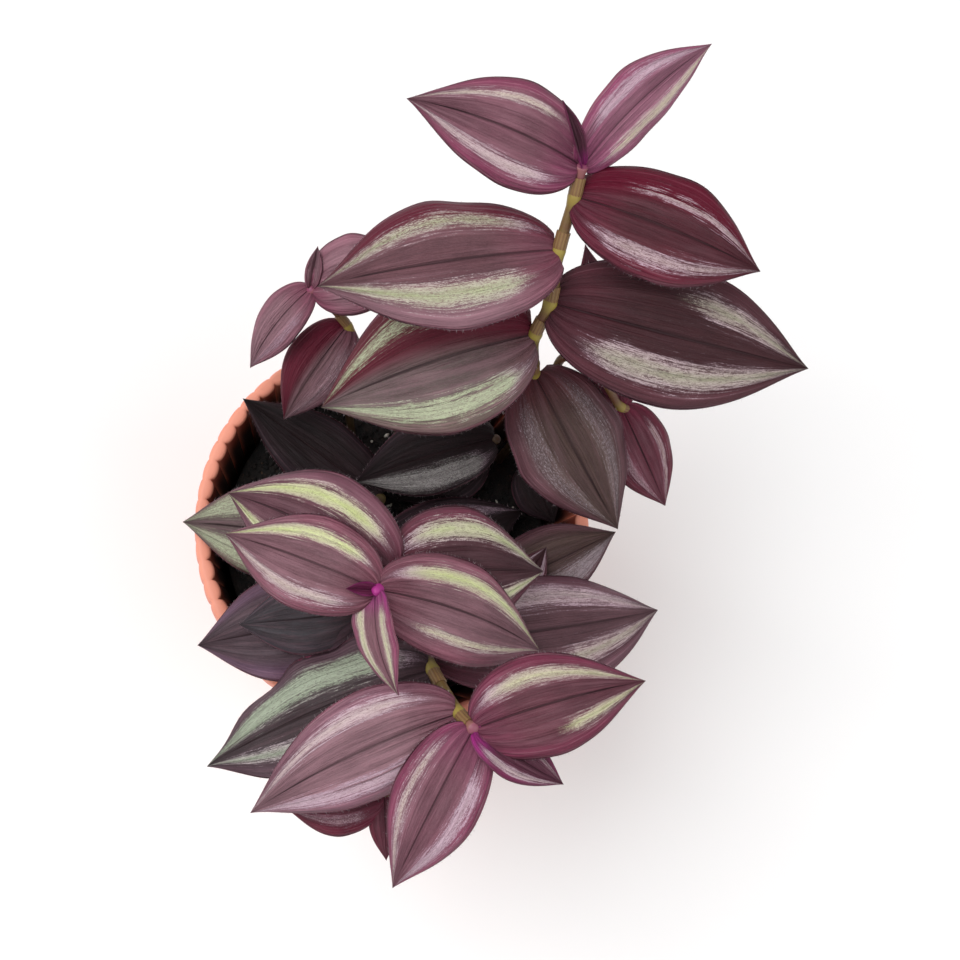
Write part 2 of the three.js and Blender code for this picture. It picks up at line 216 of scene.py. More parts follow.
class Shader(Maker):
    """Builds one material's shader."""

    def __init__(self, name: str) -> None:
        """Start an empty material of that name.

        Args:
            name: the material's name.
        """
        self.material = bpy.data.materials.new(name)
        self.material.use_nodes = True
        super().__init__(self.material.node_tree)
        self.tree.nodes.clear()

    def carried(self, name: str) -> bpy.types.Node:
        """The node of an attribute that the mesh carries on its points."""
        return self.node("ShaderNodeAttribute", {"attribute_type": "GEOMETRY", "attribute_name": name})

    def attribute(self, name: str) -> Term:
        """A carried number."""
        return Term(self, self.carried(name).outputs["Fac"])

    def colour(self, name: str) -> Socket:
        """A carried colour."""
        return self.carried(name).outputs["Color"]

    def place(self) -> Arrow:
        """The point's place on the object, in metres."""
        return Arrow(self, self.node("ShaderNodeTexCoord").outputs["Object"])

    def noise(self, place: Arrow, scale: float, detail: float = 3.0, rough: float = 0.5) -> Term:
        """Soft noise, 0 to 1, over a place."""
        sockets = {"Vector": place, "Scale": scale, "Detail": detail, "Roughness": rough}
        return Term(self, self.out("ShaderNodeTexNoise", {"noise_dimensions": "3D"}, sockets))

    def mix(self, share: Any, first: Any, second: Any) -> Socket:
        """A colour between first and second.

        Args:
            share: the share of the second, 0 to 1.
            first: a colour.
            second: a colour.

        Returns:
            The mixed colour.
        """
        sockets = {"Factor_Float": share, "A_Color": first, "B_Color": second}
        node = self.node("ShaderNodeMix", {"data_type": "RGBA"}, sockets)
        return next(s for s in node.outputs if s.identifier == "Result_Color")

    def bump(self, height: Any, distance: float, strength: float = 1.0) -> Socket:
        """A normal from a height in the unit of distance."""
        sockets = {"Height": height, "Distance": distance, "Strength": strength}
        return self.out("ShaderNodeBump", None, sockets)

    def finish(
        self, colour: Value, roughness: Any, normal: Value = None, specular: Optional[float] = None
    ) -> bpy.types.Material:
        """Add the surface shader.

        Args:
            colour: the base colour.
            roughness: the roughness, 0 to 1.
            normal: the bumped normal, or None.
            specular: the specular level, or None for the shader's own.

        Returns:
            The material.
        """
        sockets = {"Base Color": colour, "Roughness": roughness, "Normal": normal}
        sockets["Specular IOR Level"] = specular
        surface = self.out("ShaderNodeBsdfPrincipled", None, sockets)
        self.node("ShaderNodeOutputMaterial", None, {"Surface": surface})
        return self.material


class Growth(Maker):
    """Builds one Geometry Nodes tree with named inputs."""

    def __init__(self, name: str, inputs: dict[str, Any]) -> None:
        """Start a tree with a geometry input and the named ones.

        Args:
            name: the tree's name.
            inputs: each further input's value by name: a whole number, a decimal one, or None for a material.
        """
        super().__init__(bpy.data.node_groups.new(name, "GeometryNodeTree"))
        self.inputs = inputs
        face = self.tree.interface
        face.new_socket("Geometry", in_out="INPUT", socket_type="NodeSocketGeometry")
        kinds = {int: "NodeSocketInt", float: "NodeSocketFloat", type(None): "NodeSocketMaterial"}
        for label, default in inputs.items():
            socket = face.new_socket(label, in_out="INPUT", socket_type=kinds[type(default)])
            if default is not None:
                socket.default_value = default
        face.new_socket("Geometry", in_out="OUTPUT", socket_type="NodeSocketGeometry")
        self.entry = self.tree.nodes.new("NodeGroupInput")
        self.exit = self.tree.nodes.new("NodeGroupOutput")

    def given(self, label: str) -> Socket:
        """The socket of a named input."""
        return self.entry.outputs[label]

    def number(self, label: str) -> Term:
        """A named input as a term."""
        return Term(self, self.given(label))

    def live(self, *details: Any) -> Socket:
        """Add one node and give the output that its settings leave switched on."""
        return next(socket for socket in self.node(*details).outputs if socket.enabled)

    def carried(self, name: str) -> Term:
        """A number that the points carry."""
        settings = {"data_type": "FLOAT"}
        return Term(self, self.live("GeometryNodeInputNamedAttribute", settings, {"Name": name}))

    def carried_arrow(self, name: str) -> Arrow:
        """A vector that the points carry."""
        settings = {"data_type": "FLOAT_VECTOR"}
        return Arrow(self, self.live("GeometryNodeInputNamedAttribute", settings, {"Name": name}))

    def store(self, geometry: Value, name: str, value: Any, kind: str = "FLOAT") -> Socket:
        """Store a field on the geometry's points under a name.

        Args:
            geometry: the geometry.
            name: the name.
            value: the field.
            kind: its data type.

        Returns:
            The geometry that carries it.
        """
        settings = {"data_type": kind, "domain": "POINT"}
        sockets = {"Geometry": geometry, "Name": name, "Value": value}
        return self.out("GeometryNodeStoreNamedAttribute", settings, sockets)

    def chance(self, low: float, high: float, seed: int) -> Term:
        """A fixed random number on each point."""
        sockets = {2: low, 3: high, "Seed": seed}
        return Term(self, self.live("FunctionNodeRandomValue", {"data_type": "FLOAT"}, sockets))

    def index(self) -> Term:
        """Each point's number."""
        return Term(self, self.out("GeometryNodeInputIndex"))

    def position(self) -> Arrow:
        """Each point's place."""
        return Arrow(self, self.out("GeometryNodeInputPosition"))

    def copies(self, points: Value, thing: Value, **turned: Value) -> Socket:
        """Copies of a thing on points, by Rotation and Scale where these are given."""
        return self.out("GeometryNodeInstanceOnPoints", None, {"Points": points, "Instance": thing, **turned})

    def real(self, geometry: Value) -> Socket:
        """The geometry with its copies made real."""
        return self.out("GeometryNodeRealizeInstances", None, {"Geometry": geometry})

    def moved(self, geometry: Value, **way: Value) -> Socket:
        """The geometry with its points set by Position or shifted by Offset."""
        return self.out("GeometryNodeSetPosition", None, {"Geometry": geometry, **way})

    def end(self, geometry: Value, finish: str) -> "Growth":
        """Realize, set the material of a named input and close the tree.

        Args:
            geometry: the finished geometry.
            finish: the name of the material's input.

        Returns:
            The maker of the closed tree.
        """
        smooth = self.out("GeometryNodeSetShadeSmooth", None, {"Geometry": self.real(geometry)})
        sockets = {"Geometry": smooth, "Material": self.given(finish)}
        dressed = self.out("GeometryNodeSetMaterial", None, sockets)
        self.put(dressed, self.exit.inputs[0])
        return self

    def grow(self, name: str, mesh: Mesh, values: dict[str, Any]) -> bpy.types.Object:
        """Run the tree on a mesh and keep its result as a plain mesh object.

        Args:
            name: the finished piece's name.
            mesh: the starting mesh.
            values: the inputs, by name, that differ from the tree's own.

        Returns:
            The finished object, at the origin and without modifiers.
        """
        seed = linked(name + "_seed", mesh)
        modifier = seed.modifiers.new("growth", "NODES")
        modifier.node_group = self.tree
        values = {**self.inputs, **values}
        for item in self.tree.interface.items_tree:
            if item.item_type == "SOCKET" and item.in_out == "INPUT" and item.name in values:
                modifier[item.identifier] = values[item.name]
        plain = baked(seed)
        plain.name = name
        seed.modifiers.clear()
        bpy.data.objects.remove(seed)
        return linked(name, plain)


def linked(name: str, data: Any) -> bpy.types.Object:
    """A new object of the scene for a mesh, a lamp or a camera.

    Args:
        name: its name.
        data: the mesh, lamp or camera.

    Returns:
        The object.
    """
    made = bpy.data.objects.new(name, data)
    bpy.context.scene.collection.objects.link(made)
    return made


def baked(made: bpy.types.Object) -> Mesh:
    """The plain mesh that an object's modifiers give.

    Args:
        made: the object.

    Returns:
        The mesh.
    """
    bpy.context.view_layer.update()
    graph = bpy.context.evaluated_depsgraph_get()
    return bpy.data.meshes.new_from_object(made.evaluated_get(graph), depsgraph=graph)


def settled(made: bmesh.types.BMesh, name: str) -> Mesh:
    """The mesh of an edited one, which is freed.

    Args:
        made: the edited mesh.
        name: the new mesh's name.

    Returns:
        The mesh.
    """
    mesh = bpy.data.meshes.new(name)
    made.to_mesh(mesh)
    made.free()
    return mesh


def polar(radius: float, angle: float, z: float) -> Vector:
    """A point in metres from a radius and a height in millimetres."""
    return Vector((radius * math.cos(angle), radius * math.sin(angle), z)) * MM


def stitch(made: bmesh.types.BMesh, low: Ring, high: Ring) -> None:
    """Faces between two rings of as many points.

    Args:
        made: the edited mesh.
        low: one ring.
        high: the ring after it.
    """
    for i in range(len(low)):
        k = (i + 1) % len(low)
        made.faces.new((low[i], low[k], high[k], high[i]))


def carry(mesh: Mesh, name: str, values: Sequence[float]) -> None:
    """Store one number on each point of a mesh under a name."""
    mesh.attributes.new(name, "FLOAT", "POINT").data.foreach_set("value", values)


def piece_of(name: str, mesh: Mesh, material: bpy.types.Material) -> bpy.types.Object:
    """Link a mesh as a named object with one material."""
    mesh.materials.append(material)
    return linked(name, mesh)


def seated(piece: bpy.types.Object, nodes: Sequence[str] = ()) -> None:
    """Tie a finished piece to the body and the CAD nodes that it stands for.

    Args:
        piece: the piece.
        nodes: the CAD nodes, if any.
    """
    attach(piece, "root")
    if nodes:
        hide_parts(*nodes)
    LOG.info("%s: %d faces", piece.name, len(piece.data.polygons))


@dataclass(frozen=True)
class Band:
    """A silver band along half a blade, in shares of the half width and of the length."""

    strength: float = 1.0
    centre: float = 0.58
    width: float = 0.12
    start: float = 0.08
    green: float = 0.8


BARE = Band(0.0)
FAINT = Band(0.25, 0.5, 0.2, 0.1, 0.5)
HINT = Band(0.42, 0.55, 0.13, 0.15, 0.3)
THIN = Band(0.7, 0.58, 0.1, 0.15, 0.5)
CLEAR = Band(0.84, 0.56, 0.155, 0.04, 0.95)
OPEN = Band(0.84, 0.57, 0.17, 0.0, 0.9)
FADED = Band(0.74, 0.58, 0.15, 0.0, 0.75)
HIGH = Band(0.84, 0.64, 0.15, 0.0, 0.9)
SOFT = Band(0.58, 0.57, 0.15, 0.0, 0.8)
DULL = Band(0.64, 0.62, 0.13, 0.06, 0.4)
NARROW = Band(0.68, 0.5, 0.07, 0.2, 0.4)
ARC = Band(0.76, 0.64, 0.16, 0.0, 2.4)
ROSY = Band(0.74, 0.64, 0.13, 0.06, 0.3)
BROAD = Band(0.74, 0.54, 0.2, 0.1, 0.9)
GREY = Band(0.72, 0.54, 0.2, 0.1, 0.5)
LATE = Band(0.72, 0.52, 0.17, 0.42, 0.9)
# Partly the pale stripe, partly a painted lilac reflection.
LILAC_SHEEN = Band(0.74, 0.62, 0.17, 0.12, 0.1)
SHEEN = Band(0.66, 0.6, 0.32, 0.02, 3.0)
SPECKLED = Band(0.6, 0.63, 0.14, 0.32, 2.2)
WIDE = Band(0.8, 0.47, 0.23, 0.0, 2.0)
MIST = Band(0.35, 0.55, 0.17, 0.05, 2.4)


class Skin(Enum):
    """A blade's colours: body, outer zone, base and silver, each 0 to 255 in sRGB."""

    MAUVE = ((132, 96, 104), (134, 78, 94), (116, 54, 72), (208, 220, 152))
    DUSK = ((112, 76, 82), (144, 108, 118), (122, 60, 80), (180, 190, 146))
    MALLOW = ((106, 68, 78), (116, 74, 88), (106, 48, 66), (208, 220, 152))
    HEATHER = ((146, 112, 120), (124, 82, 98), (116, 62, 78), (206, 208, 162))
    UMBER = ((72, 42, 48), (104, 52, 68), (104, 50, 64), (194, 202, 152))
    ORCHID = ((166, 108, 132), (158, 76, 114), (154, 56, 110), (220, 210, 180))
    ROSE = ((128, 84, 97), (136, 62, 92), (136, 54, 94), (208, 208, 166))
    RUBY = ((106, 60, 71), (122, 48, 74), (126, 56, 82), (202, 206, 156))
    WINE = ((88, 38, 48), (98, 26, 46), (106, 34, 56), (174, 166, 136))
    BROWN = ((64, 32, 36), (86, 46, 54), (82, 34, 46), (166, 164, 140))
    OLIVE = ((112, 100, 97), (114, 102, 92), (70, 24, 32), (184, 192, 160))
    PLUM = ((78, 63, 55), (86, 54, 60), (92, 30, 42), (150, 136, 142))
    ASH = ((112, 84, 88), (106, 74, 82), (98, 34, 54), (160, 146, 142))
    TAUPE = ((92, 64, 70), (104, 68, 80), (96, 48, 62), (178, 170, 152))
    # Painted shade: near-black colours for the leaves that lie low in the pot's shade.
    SLATE = ((13, 9, 10), (30, 18, 25), (26, 14, 16), (150, 146, 144))
    VIOLET = ((82, 72, 78), (108, 82, 104), (60, 46, 54), (112, 104, 116))
    STEEL = ((76, 80, 84), (66, 66, 74), (42, 38, 42), (92, 96, 100))
    MINT = ((66, 60, 62), (94, 72, 82), (66, 50, 56), (166, 176, 154))
    CRIMSON = ((108, 54, 68), (108, 26, 50), (122, 36, 64), (180, 162, 136))
    PINK = ((160, 122, 132), (150, 98, 114), (140, 62, 92), (192, 152, 164))
    PETAL = ((142, 100, 110), (142, 66, 100), (186, 50, 150), (214, 218, 172))
    BLUSH = ((98, 50, 70), (124, 46, 86), (188, 60, 150), (206, 206, 166))
    HEART = ((112, 22, 74), (132, 30, 96), (172, 48, 134), (206, 190, 176))


@dataclass(frozen=True)
class Leaf:
    """One blade: sizes in millimetres, angles in degrees, as in the part's own table.

    A positive red shade reddens the left half's outer zone, a negative one the right half's: painted shade on
    the half turned from the light. The droop isn't 0.
    """

    joint: int
    heading: float
    rise: float
    span: float
    breadth: float
    roll: float
    droop: float
    sweep: float
    belly: float
    skin: Skin = Skin.MAUVE
    left: Band = CLEAR
    right: Band = CLEAR
    fold: float = 20.0
    crimson: float = 0.0
    ruffle: float = 0.02


@dataclass(frozen=True)
class Stem:
    """One cutting: its radius and joints in millimetres, and its leaves."""

    name: str
    radius: float
    joints: tuple[tuple[float, float, float], ...]
    leaves: tuple[Leaf, ...]
    heart: bool = False

    def spots(self, steps: int) -> list[Vector]:
        """Points on a centripetal Catmull-Rom curve through the joints, steps to each joint gap.

        Args:
            steps: how many points to each gap between joints.

        Returns:
            The points in millimetres.
        """
        points = [Vector(joint) for joint in self.joints]
        spots: list[Vector] = []
        last = len(points) - 1
        for i in range(last):
            start, end = points[i], points[i + 1]
            before = points[i - 1] if i > 0 else 2 * start - end
            after = points[i + 2] if i + 2 <= last else 2 * end - start
            for k in range(steps):
                spots.append(catmull(before, start, end, after, k / steps))
        spots.append(points[-1].copy())
        return spots


def catmull(before: Vector, start: Vector, end: Vector, after: Vector, share: float) -> Vector:
    """One point of a centripetal Catmull-Rom segment.

    Args:
        before: the joint before the segment.
        start: its first joint.
        end: its last joint.
        after: the joint after it.
        share: the place on it, 0 to 1.

    Returns:
        The point.
    """
    gap0 = max(math.sqrt((start - before).length), 1e-4)
    gap1 = max(math.sqrt((end - start).length), 1e-4)
    gap2 = max(math.sqrt((after - end).length), 1e-4)
    slope0 = ((start - before) / gap0 - (end - before) / (gap0 + gap1) + (end - start) / gap1) * gap1
    slope1 = ((end - start) / gap1 - (after - start) / (gap1 + gap2) + (after - end) / gap2) * gap1
    c2 = -3 * start + 3 * end - 2 * slope0 - slope1
    c3 = 2 * start - 2 * end + slope0 + slope1
    return start + slope0 * share + c2 * share**2 + c3 * share**3


STEMS: tuple[Stem, ...] = (
    Stem(
        "stem_back",
        1.5,
        (
            (17, 33, 72), (13, 35, 84), (-1, 41, 117), (-6, 40, 136), (-8, 45, 142),
            (-14, 52, 149), (-19, 60, 156), (-22, 64, 160),
        ),
        (
            Leaf(1, -18, -12, 17, 15, 0, 5, 0, 0.44, Skin.SLATE, BARE, BARE),
            Leaf(2, -17, -10, 43, 30, 4, 10, 0.05, 0.45, Skin.PLUM, MIST, MIST, ruffle=0.05),
            Leaf(3, -124, -5, 50, 36, -18, 22, 0.08, 0.42, Skin.OLIVE, ARC, SPECKLED, crimson=-1.6),
            Leaf(4, 29, 2, 62, 34, 16, 9, 0.06, 0.49, Skin.BROWN, LATE, BROAD),
            Leaf(5, -127, 8, 53, 32, 6, 10, 0.06, 0.48, Skin.DUSK, BROAD, SOFT, crimson=-1),
            Leaf(6, 24, 12, 44, 26, 10, 27, 0.01, 0.48, Skin.WINE, NARROW, DULL, crimson=1.2),
            Leaf(7, -157, 18, 39, 24, -13, 32, 0.05, 0.38, Skin.ROSE, ROSY, THIN),
            Leaf(7, 97, 15, 39, 17, 38, 9, -0.17, 0.46, Skin.ORCHID, LILAC_SHEEN, CLEAR),
            Leaf(7, 175, 49, 16, 8, 0, 0.5, 0, 0.42, Skin.BLUSH, BARE, BARE, fold=65),
        ),
    ),
    Stem(
        "stem_back_left",
        1.1,
        ((-25, 12, 72), (-31, 15, 86), (-36, 21, 101), (-41, 22, 106), (-52, 20, 113)),
        (
            Leaf(3, -86, -18, 28, 17, -10, 22, 0.06, 0.44, Skin.ASH, FAINT, BARE, crimson=-1.5),
            Leaf(4, 56, 33, 24, 20, 10, 18, 0, 0.47, Skin.PINK, BARE, BARE),
            Leaf(4, -98, -22, 25, 12, 0, 32, 0.14, 0.43, Skin.PINK, HINT, BARE),
            Leaf(4, 125, 28, 10, 8, 0, 0.5, 0, 0.42, Skin.PINK, BARE, BARE, fold=60),
        ),
    ),
    Stem(
        "stem_back_right",
        1.2,
        ((7, 36, 72), (6, 41, 92), (3, 47, 108), (2, 50, 116), (11, 52, 117), (20, 53, 110), (23, 56, 108)),
        (
            Leaf(5, 150, 23, 40, 17, 0, 10, 0, 0.42, Skin.CRIMSON, BARE, BARE),
            Leaf(5, -16, -16, 28, 18, 4, 12, 0.02, 0.45, Skin.CRIMSON, THIN, HINT),
        ),
    ),
    Stem(
        "stem_front",
        1.4,
        ((1, -8, 72), (3, -12, 86), (6, -18, 108), (7, -19, 125), (7, -25, 132)),
        (
            Leaf(1, 66, -7, 44, 24, 0, 8, 0, 0.44, Skin.SLATE, HINT, BARE),
            Leaf(3, -174, -7, 43, 28, -24, 28, 0.1, 0.45, Skin.MALLOW),
            Leaf(3, 50, -9, 39, 31, 8, 18, -0.04, 0.42, Skin.UMBER, HIGH),
            Leaf(4, -163, -4, 34, 22, -8, 11, 0.07, 0.44, left=ROSY),
            Leaf(4, 37, -16, 46, 24, 6, 22, -0.14, 0.46, left=OPEN, right=THIN),
            Leaf(4, -54, -4, 21, 15, 52, -8, 0.33, 0.44, Skin.PETAL, BROAD, BROAD, fold=35),
            Leaf(4, -136, 22, 7.4, 5, 0, 0.5, 0, 0.42, Skin.HEART, BARE, BARE, fold=50),
        ),
        True,
    ),
    Stem(
        "stem_front_right",
        1.5,
        ((15, -9, 72), (18, -15, 88), (23, -21, 104), (28, -26, 114), (38, -30, 120), (42, -31, 124)),
        (
            Leaf(2, 47, -1, 65, 33, -18, 24, 0.08, 0.5, Skin.TAUPE, GREY, LATE),
            Leaf(3, -122, -15, 57, 30, 18, 20, 0.11, 0.43, Skin.MINT, LATE, WIDE, ruffle=0.14),
            Leaf(4, -121, -12, 51, 26, -18, 20, 0.14, 0.42, Skin.HEATHER, LILAC_SHEEN, ROSY),
            Leaf(5, 63, 14, 38, 24, 6, 6, -0.1, 0.41, Skin.RUBY, FADED, LATE),
            Leaf(5, -75, -18, 40, 21, 10, 14, 0.05, 0.44, Skin.ROSE, LILAC_SHEEN, DULL),
            Leaf(5, 9, -8, 24, 14, -2, 4, 0.06, 0.43, Skin.BLUSH, HINT, ROSY, fold=38),
        ),
    ),
    Stem(
        "stem_right",
        1.3,
        ((27, 7, 72), (28, 4, 83), (33, 5, 87)),
        (
            Leaf(1, 67, 20, 35, 21, -2, 8, 0.01, 0.45, Skin.PLUM, BARE, SHEEN),
            Leaf(2, 100, 19, 16, 13, -4, 0.5, 0, 0.4, Skin.BROWN, ROSY, ROSY, fold=45),
        ),
    ),
    Stem(
        "stem_left",
        1.3,
        ((-8, 4, 72), (-8, 2, 83), (-6, -14, 90), (7, -25, 94)),
        (
            Leaf(1, 188, 12, 42, 21, 0, 14, 0, 0.42, Skin.SLATE, BARE, BARE),
            Leaf(2, -148, 12, 39, 27, -24, 28, 0.05, 0.43, Skin.OLIVE, SHEEN, SHEEN),
            Leaf(3, -126, -1, 37, 27, 4, 8, 0, 0.45, Skin.VIOLET, BARE, BARE),
            Leaf(3, -130, 13, 28, 18, -3, 2, 0, 0.44, Skin.STEEL, BARE, BARE),
        ),
    ),
    Stem(
        "stem_middle",
        1.2,
        ((1, 30, 72), (2, 31, 82), (3, 32, 91)),
        (
            Leaf(1, -106, -12, 26, 20, 0, 6, 0, 0.44, Skin.SLATE, BARE, BARE),
            Leaf(2, -124, 0, 37, 21, -12, 18, 0.07, 0.46, Skin.SLATE, SHEEN, BARE),
        ),
    ),
    Stem(
        "stem_low",
        1.2,
        ((27, -11, 72), (32, -26, 88), (36, -41, 95), (40, -51, 94)),
        (
            Leaf(3, -131, 10, 23, 17, -4, 2, 0, 0.46, Skin.CRIMSON, HINT, HINT),
            Leaf(3, -44, -9, 15, 8, 0, 0.5, 0, 0.4, Skin.CRIMSON, BARE, BARE),
        ),
    ),
    Stem(
        "stem_far",
        1.2,
        ((-16, 19, 72), (-19, 24, 88), (-21, 31, 100), (-22, 39, 108)),
        (
            Leaf(2, 40, 0, 20, 16, 0, 12, 0, 0.44, Skin.PLUM, HINT, HINT),
            Leaf(3, 147, 5, 25, 17, 0, 12, 0, 0.44, Skin.BROWN),
            Leaf(3, 92, 15, 23, 13, 0, 10, 0, 0.42),
        ),
    ),
)


TRAITS = tuple(trait.name for trait in fields(Band))


class Pattern:
    """Where a point is on its blade, and the noises and lines that run over it."""

    def __init__(self, s: Shader) -> None:
        """Read the blade's attributes and lay the patterns on them.

        Args:
            s: the blade's shader.
        """
        self.shader = s
        self.u = s.attribute("along")
        self.v = s.attribute("across_blade")
        self.key = s.attribute("key")
        self.a = abs(self.v)
        self.lefty = (self.v * 1000.0).clamp()
        self.streak = self.noise(1.3, 15.0, 3.7, 3.0, 0.6)
        self.fine = self.noise(7.0, 60.0, 1.9, 3.0, 0.65)
        self.cells = self.noise(105.0, 64.0, 1.0, 2.0, 0.8)
        self.flecks = self.noise(34.0, 62.0, 5.1, 2.0, 0.7)
        self.breaks = self.noise(5.0, 7.0, 2.3, 3.0, 0.6)
        self.swell = self.noise(1.9, 4.6, 4.3, 2.0, 0.5)
        self.cloud = s.noise(s.place(), 110.0, 3.0, 0.55)
        self.grain = ((0.5 * self.cells + 0.5 * self.flecks - 0.5) * 5.0 + 0.5).clamp()
        self.pleat = (self.a * 15.0 + (self.streak - 0.5) * 6.0).cos()
        self.lines = (self.a * 52.0 + (self.streak - 0.5) * 7.0).cos()
        self.groove = 1.0 - self.a.step(0.0, 0.12)
        self.rib = (1.0 - self.a.step(0.006, 0.034)) * (1.0 - self.u.step(0.8, 0.97))
        self.pale = (Term(s, s.colour("body")) * 6.0).clamp()
        self.rim = self.a.step(0.945, 0.98) * (0.22 + 0.44 * self.pale)

    def noise(self, along: float, across: float, shift: float, detail: float, rough: float) -> Term:
        """A noise, 0 to 1, as fine as along and across say and shifted from leaf to leaf."""
        place = self.shader.xyz(self.u * along, self.v * across, self.key * shift)
        return self.shader.noise(place, 1.5, detail, rough)


@dataclass(frozen=True)
class LeafFinish:
    """A blade with two streaked silver bands, fine parallel veins and a red underside."""

    # Rosy silver where a band is least green; on the lilac bands it also paints a lilac reflection.
    rosy: Colour = linear(196, 164, 184)
    # White of the painted glints.
    white: Colour = linear(238, 232, 224)
    # Painted shade: dark crimson for the half of a blade turned from the light.
    crimson: Colour = linear(88, 8, 34)
    under: Colour = linear(112, 30, 66)
    under_line: Colour = linear(158, 66, 102)
    # Dark veins and midrib, and painted shade in the creases.
    vein: Colour = linear(34, 16, 20)
    margin: Colour = linear(172, 104, 124)
    # Pale vein lines, and painted highlights on the swells.
    thread: Colour = linear(190, 146, 158)
    saturation: float = 1.07
    relief: float = 0.00028
    specular: float = 0.22

    @staticmethod
    def band(s: Shader, half: str, p: Pattern) -> tuple[Term, Term]:
        """How much of a half blade's band covers a point, and how green it is there.

        Args:
            s: the shader.
            half: "left" or "right".
            p: the blade's patterns.

        Returns:
            The cover and the green share.
        """
        strength, middle, breadth, start, tint = (s.attribute(f"{half}_{trait}") for trait in TRAITS)
        grown = ((p.u - start) / 0.15).clamp() * (1.0 - 0.35 * p.u.step(0.76, 1.0))
        off = abs(p.a - (middle - 0.05 * p.u.step(0.5, 1.0)))
        width = breadth * (0.25 + 0.75 * grown)
        edge = width - off + (p.streak - 0.5) * 0.46 + (p.fine - 0.5) * 0.4 + (p.breaks - 0.5) * 0.22
        cover = ((edge + 0.3 * width) / (0.8 * width)).clamp() * strength * grown
        stray = p.streak.step(0.56, 0.66) * p.fine.step(0.5, 0.6) * (1.0 - off * 2.4).clamp() * grown
        core = (1.0 - off / (width + 0.04)).clamp()
        green = tint * (0.3 + 0.7 * core) * (0.5 + p.breaks) * p.u.step(0.02, 0.3)
        return cover.above(stray * 0.7 * strength), green

    def flesh(self, s: Shader, p: Pattern) -> Socket:
        """The blade's colour between its bands, with painted shade in its creases and on its half turned from
        the light, and painted highlights on its swells.

        Args:
            s: the shader.
            p: the blade's patterns.

        Returns:
            The colour.
        """
        body = s.mix(p.a.step(0.5, 0.9), s.colour("body"), s.colour("edge"))
        body = s.mix((1.0 - p.u.step(0.0, 0.34)) * 0.85, body, s.colour("flush"))
        # Painted shade: darker in the pleats' troughs and in the crease by the midrib; the cloud and fine
        # noises are the blade's own tone.
        shade = 0.2 * p.cloud.step(0.3, 0.7) + 0.26 * p.fine.step(0.3, 0.7)
        shade = shade + 0.12 * (1.0 - p.pleat) + 0.22 * p.groove
        body = s.mix(shade.clamp(), body, self.vein)
        # Painted highlight: paler on the crests of the swells.
        body = s.mix(0.2 * p.swell.step(0.45, 0.68) * (1.0 - p.groove) * p.pale, body, self.thread)
        body = s.mix((0.2 * p.grain + 0.12 * p.fine.step(0.5, 0.7)) * p.pale, body, self.thread)
        # Painted shade: the half turned from the light is reddened to dark crimson.
        side = (s.attribute("crimson") * (2.0 * p.lefty - 1.0)).above(0.0)
        reach = p.a + 0.25 * (1.0 - p.u) + (0.7 * side - 0.7).above(0.0)
        body = s.mix(side.below(1.0) * reach.step(0.5, 0.85) * 0.86, body, self.crimson)
        outer = p.a.step(0.66, 0.8)
        pale_lines = p.lines.step(0.86, 1.0) * outer * p.streak.step(0.35, 0.6) * (0.08 + 0.34 * p.pale)
        body = s.mix(pale_lines, body, self.thread)
        dark_lines = (1.0 - p.lines.step(-1.0, -0.7)) * (1.0 - outer) * p.streak.step(0.4, 0.65) * 0.2
        body = s.mix(dark_lines, body, self.vein)
        return s.out("ShaderNodeHueSaturation", None, {"Saturation": self.saturation, "Color": body})

    def upper(self, s: Shader, p: Pattern, veil: Term, cover: Term, green: Term) -> Socket:
        """The blade from above.

        Args:
            s: the shader.
            p: the blade's patterns.
            veil: how much thin silver lies over the flesh.
            cover: where the silver is whole.
            green: how green it is.

        Returns:
            The colour.
        """
        silver = s.mix(green.clamp(), self.rosy, s.colour("silver"))
        body = s.mix(veil, self.flesh(s, p), silver)
        # Painted highlights: white glints over the silver.
        painted_glints = (p.flecks * p.cells).step(0.27, 0.36) * 0.8 * p.pale
        silver = s.mix(painted_glints, silver, s.mix(0.7, silver, self.white))
        worn = 0.4 * p.breaks.step(0.5, 0.62) + 0.25 * p.grain
        silver = s.mix(worn, silver, s.mix(0.45, silver, s.colour("body")))
        top = s.mix(cover, body, silver)
        top = s.mix(p.rib * (0.45 + 0.45 * p.streak.step(0.3, 0.7)), top, self.vein)
        return s.mix(p.rim, top, self.margin)

    def lower(self, s: Shader, p: Pattern) -> Socket:
        """The blade's red underside.

        Args:
            s: the shader.
            p: the blade's patterns.

        Returns:
            The colour.
        """
        back = s.mix(p.cloud.step(0.3, 0.7) * 0.5, self.under, s.colour("flush"))
        back = s.mix(p.lines.step(0.5, 1.0) * 0.35, back, self.under_line)
        return s.mix(p.rim, back, self.margin)

    def make(self) -> bpy.types.Material:
        """Build the material.

        Returns:
            The material.
        """
        s = Shader("leaf_blade")
        p = Pattern(s)
        halves = zip(self.band(s, "left", p), self.band(s, "right", p))
        cover, green = (p.lefty * left + (1.0 - p.lefty) * right for left, right in halves)
        veil = cover * 0.34
        cover = ((cover - 0.12 - 0.86 * p.grain) * 3.6 + 0.5).clamp()
        facing = (s.attribute("layer") * 60.0 + 0.5).clamp()
        colour = s.mix(facing, self.lower(s, p), self.upper(s, p, veil, cover, green))
        height = p.swell * 4.0 + p.lines * 0.08 + p.pleat * 0.7 - p.rib * 1.1 - p.groove * 0.8
        height = height + p.cells * 0.34 + p.fine * 0.25 + p.cloud * 0.4
        roughness = 0.4 + 0.12 * p.cloud - 0.06 * cover + 0.1 * p.cells
        return s.finish(colour, roughness, s.bump(height, self.relief, 0.85), self.specular)


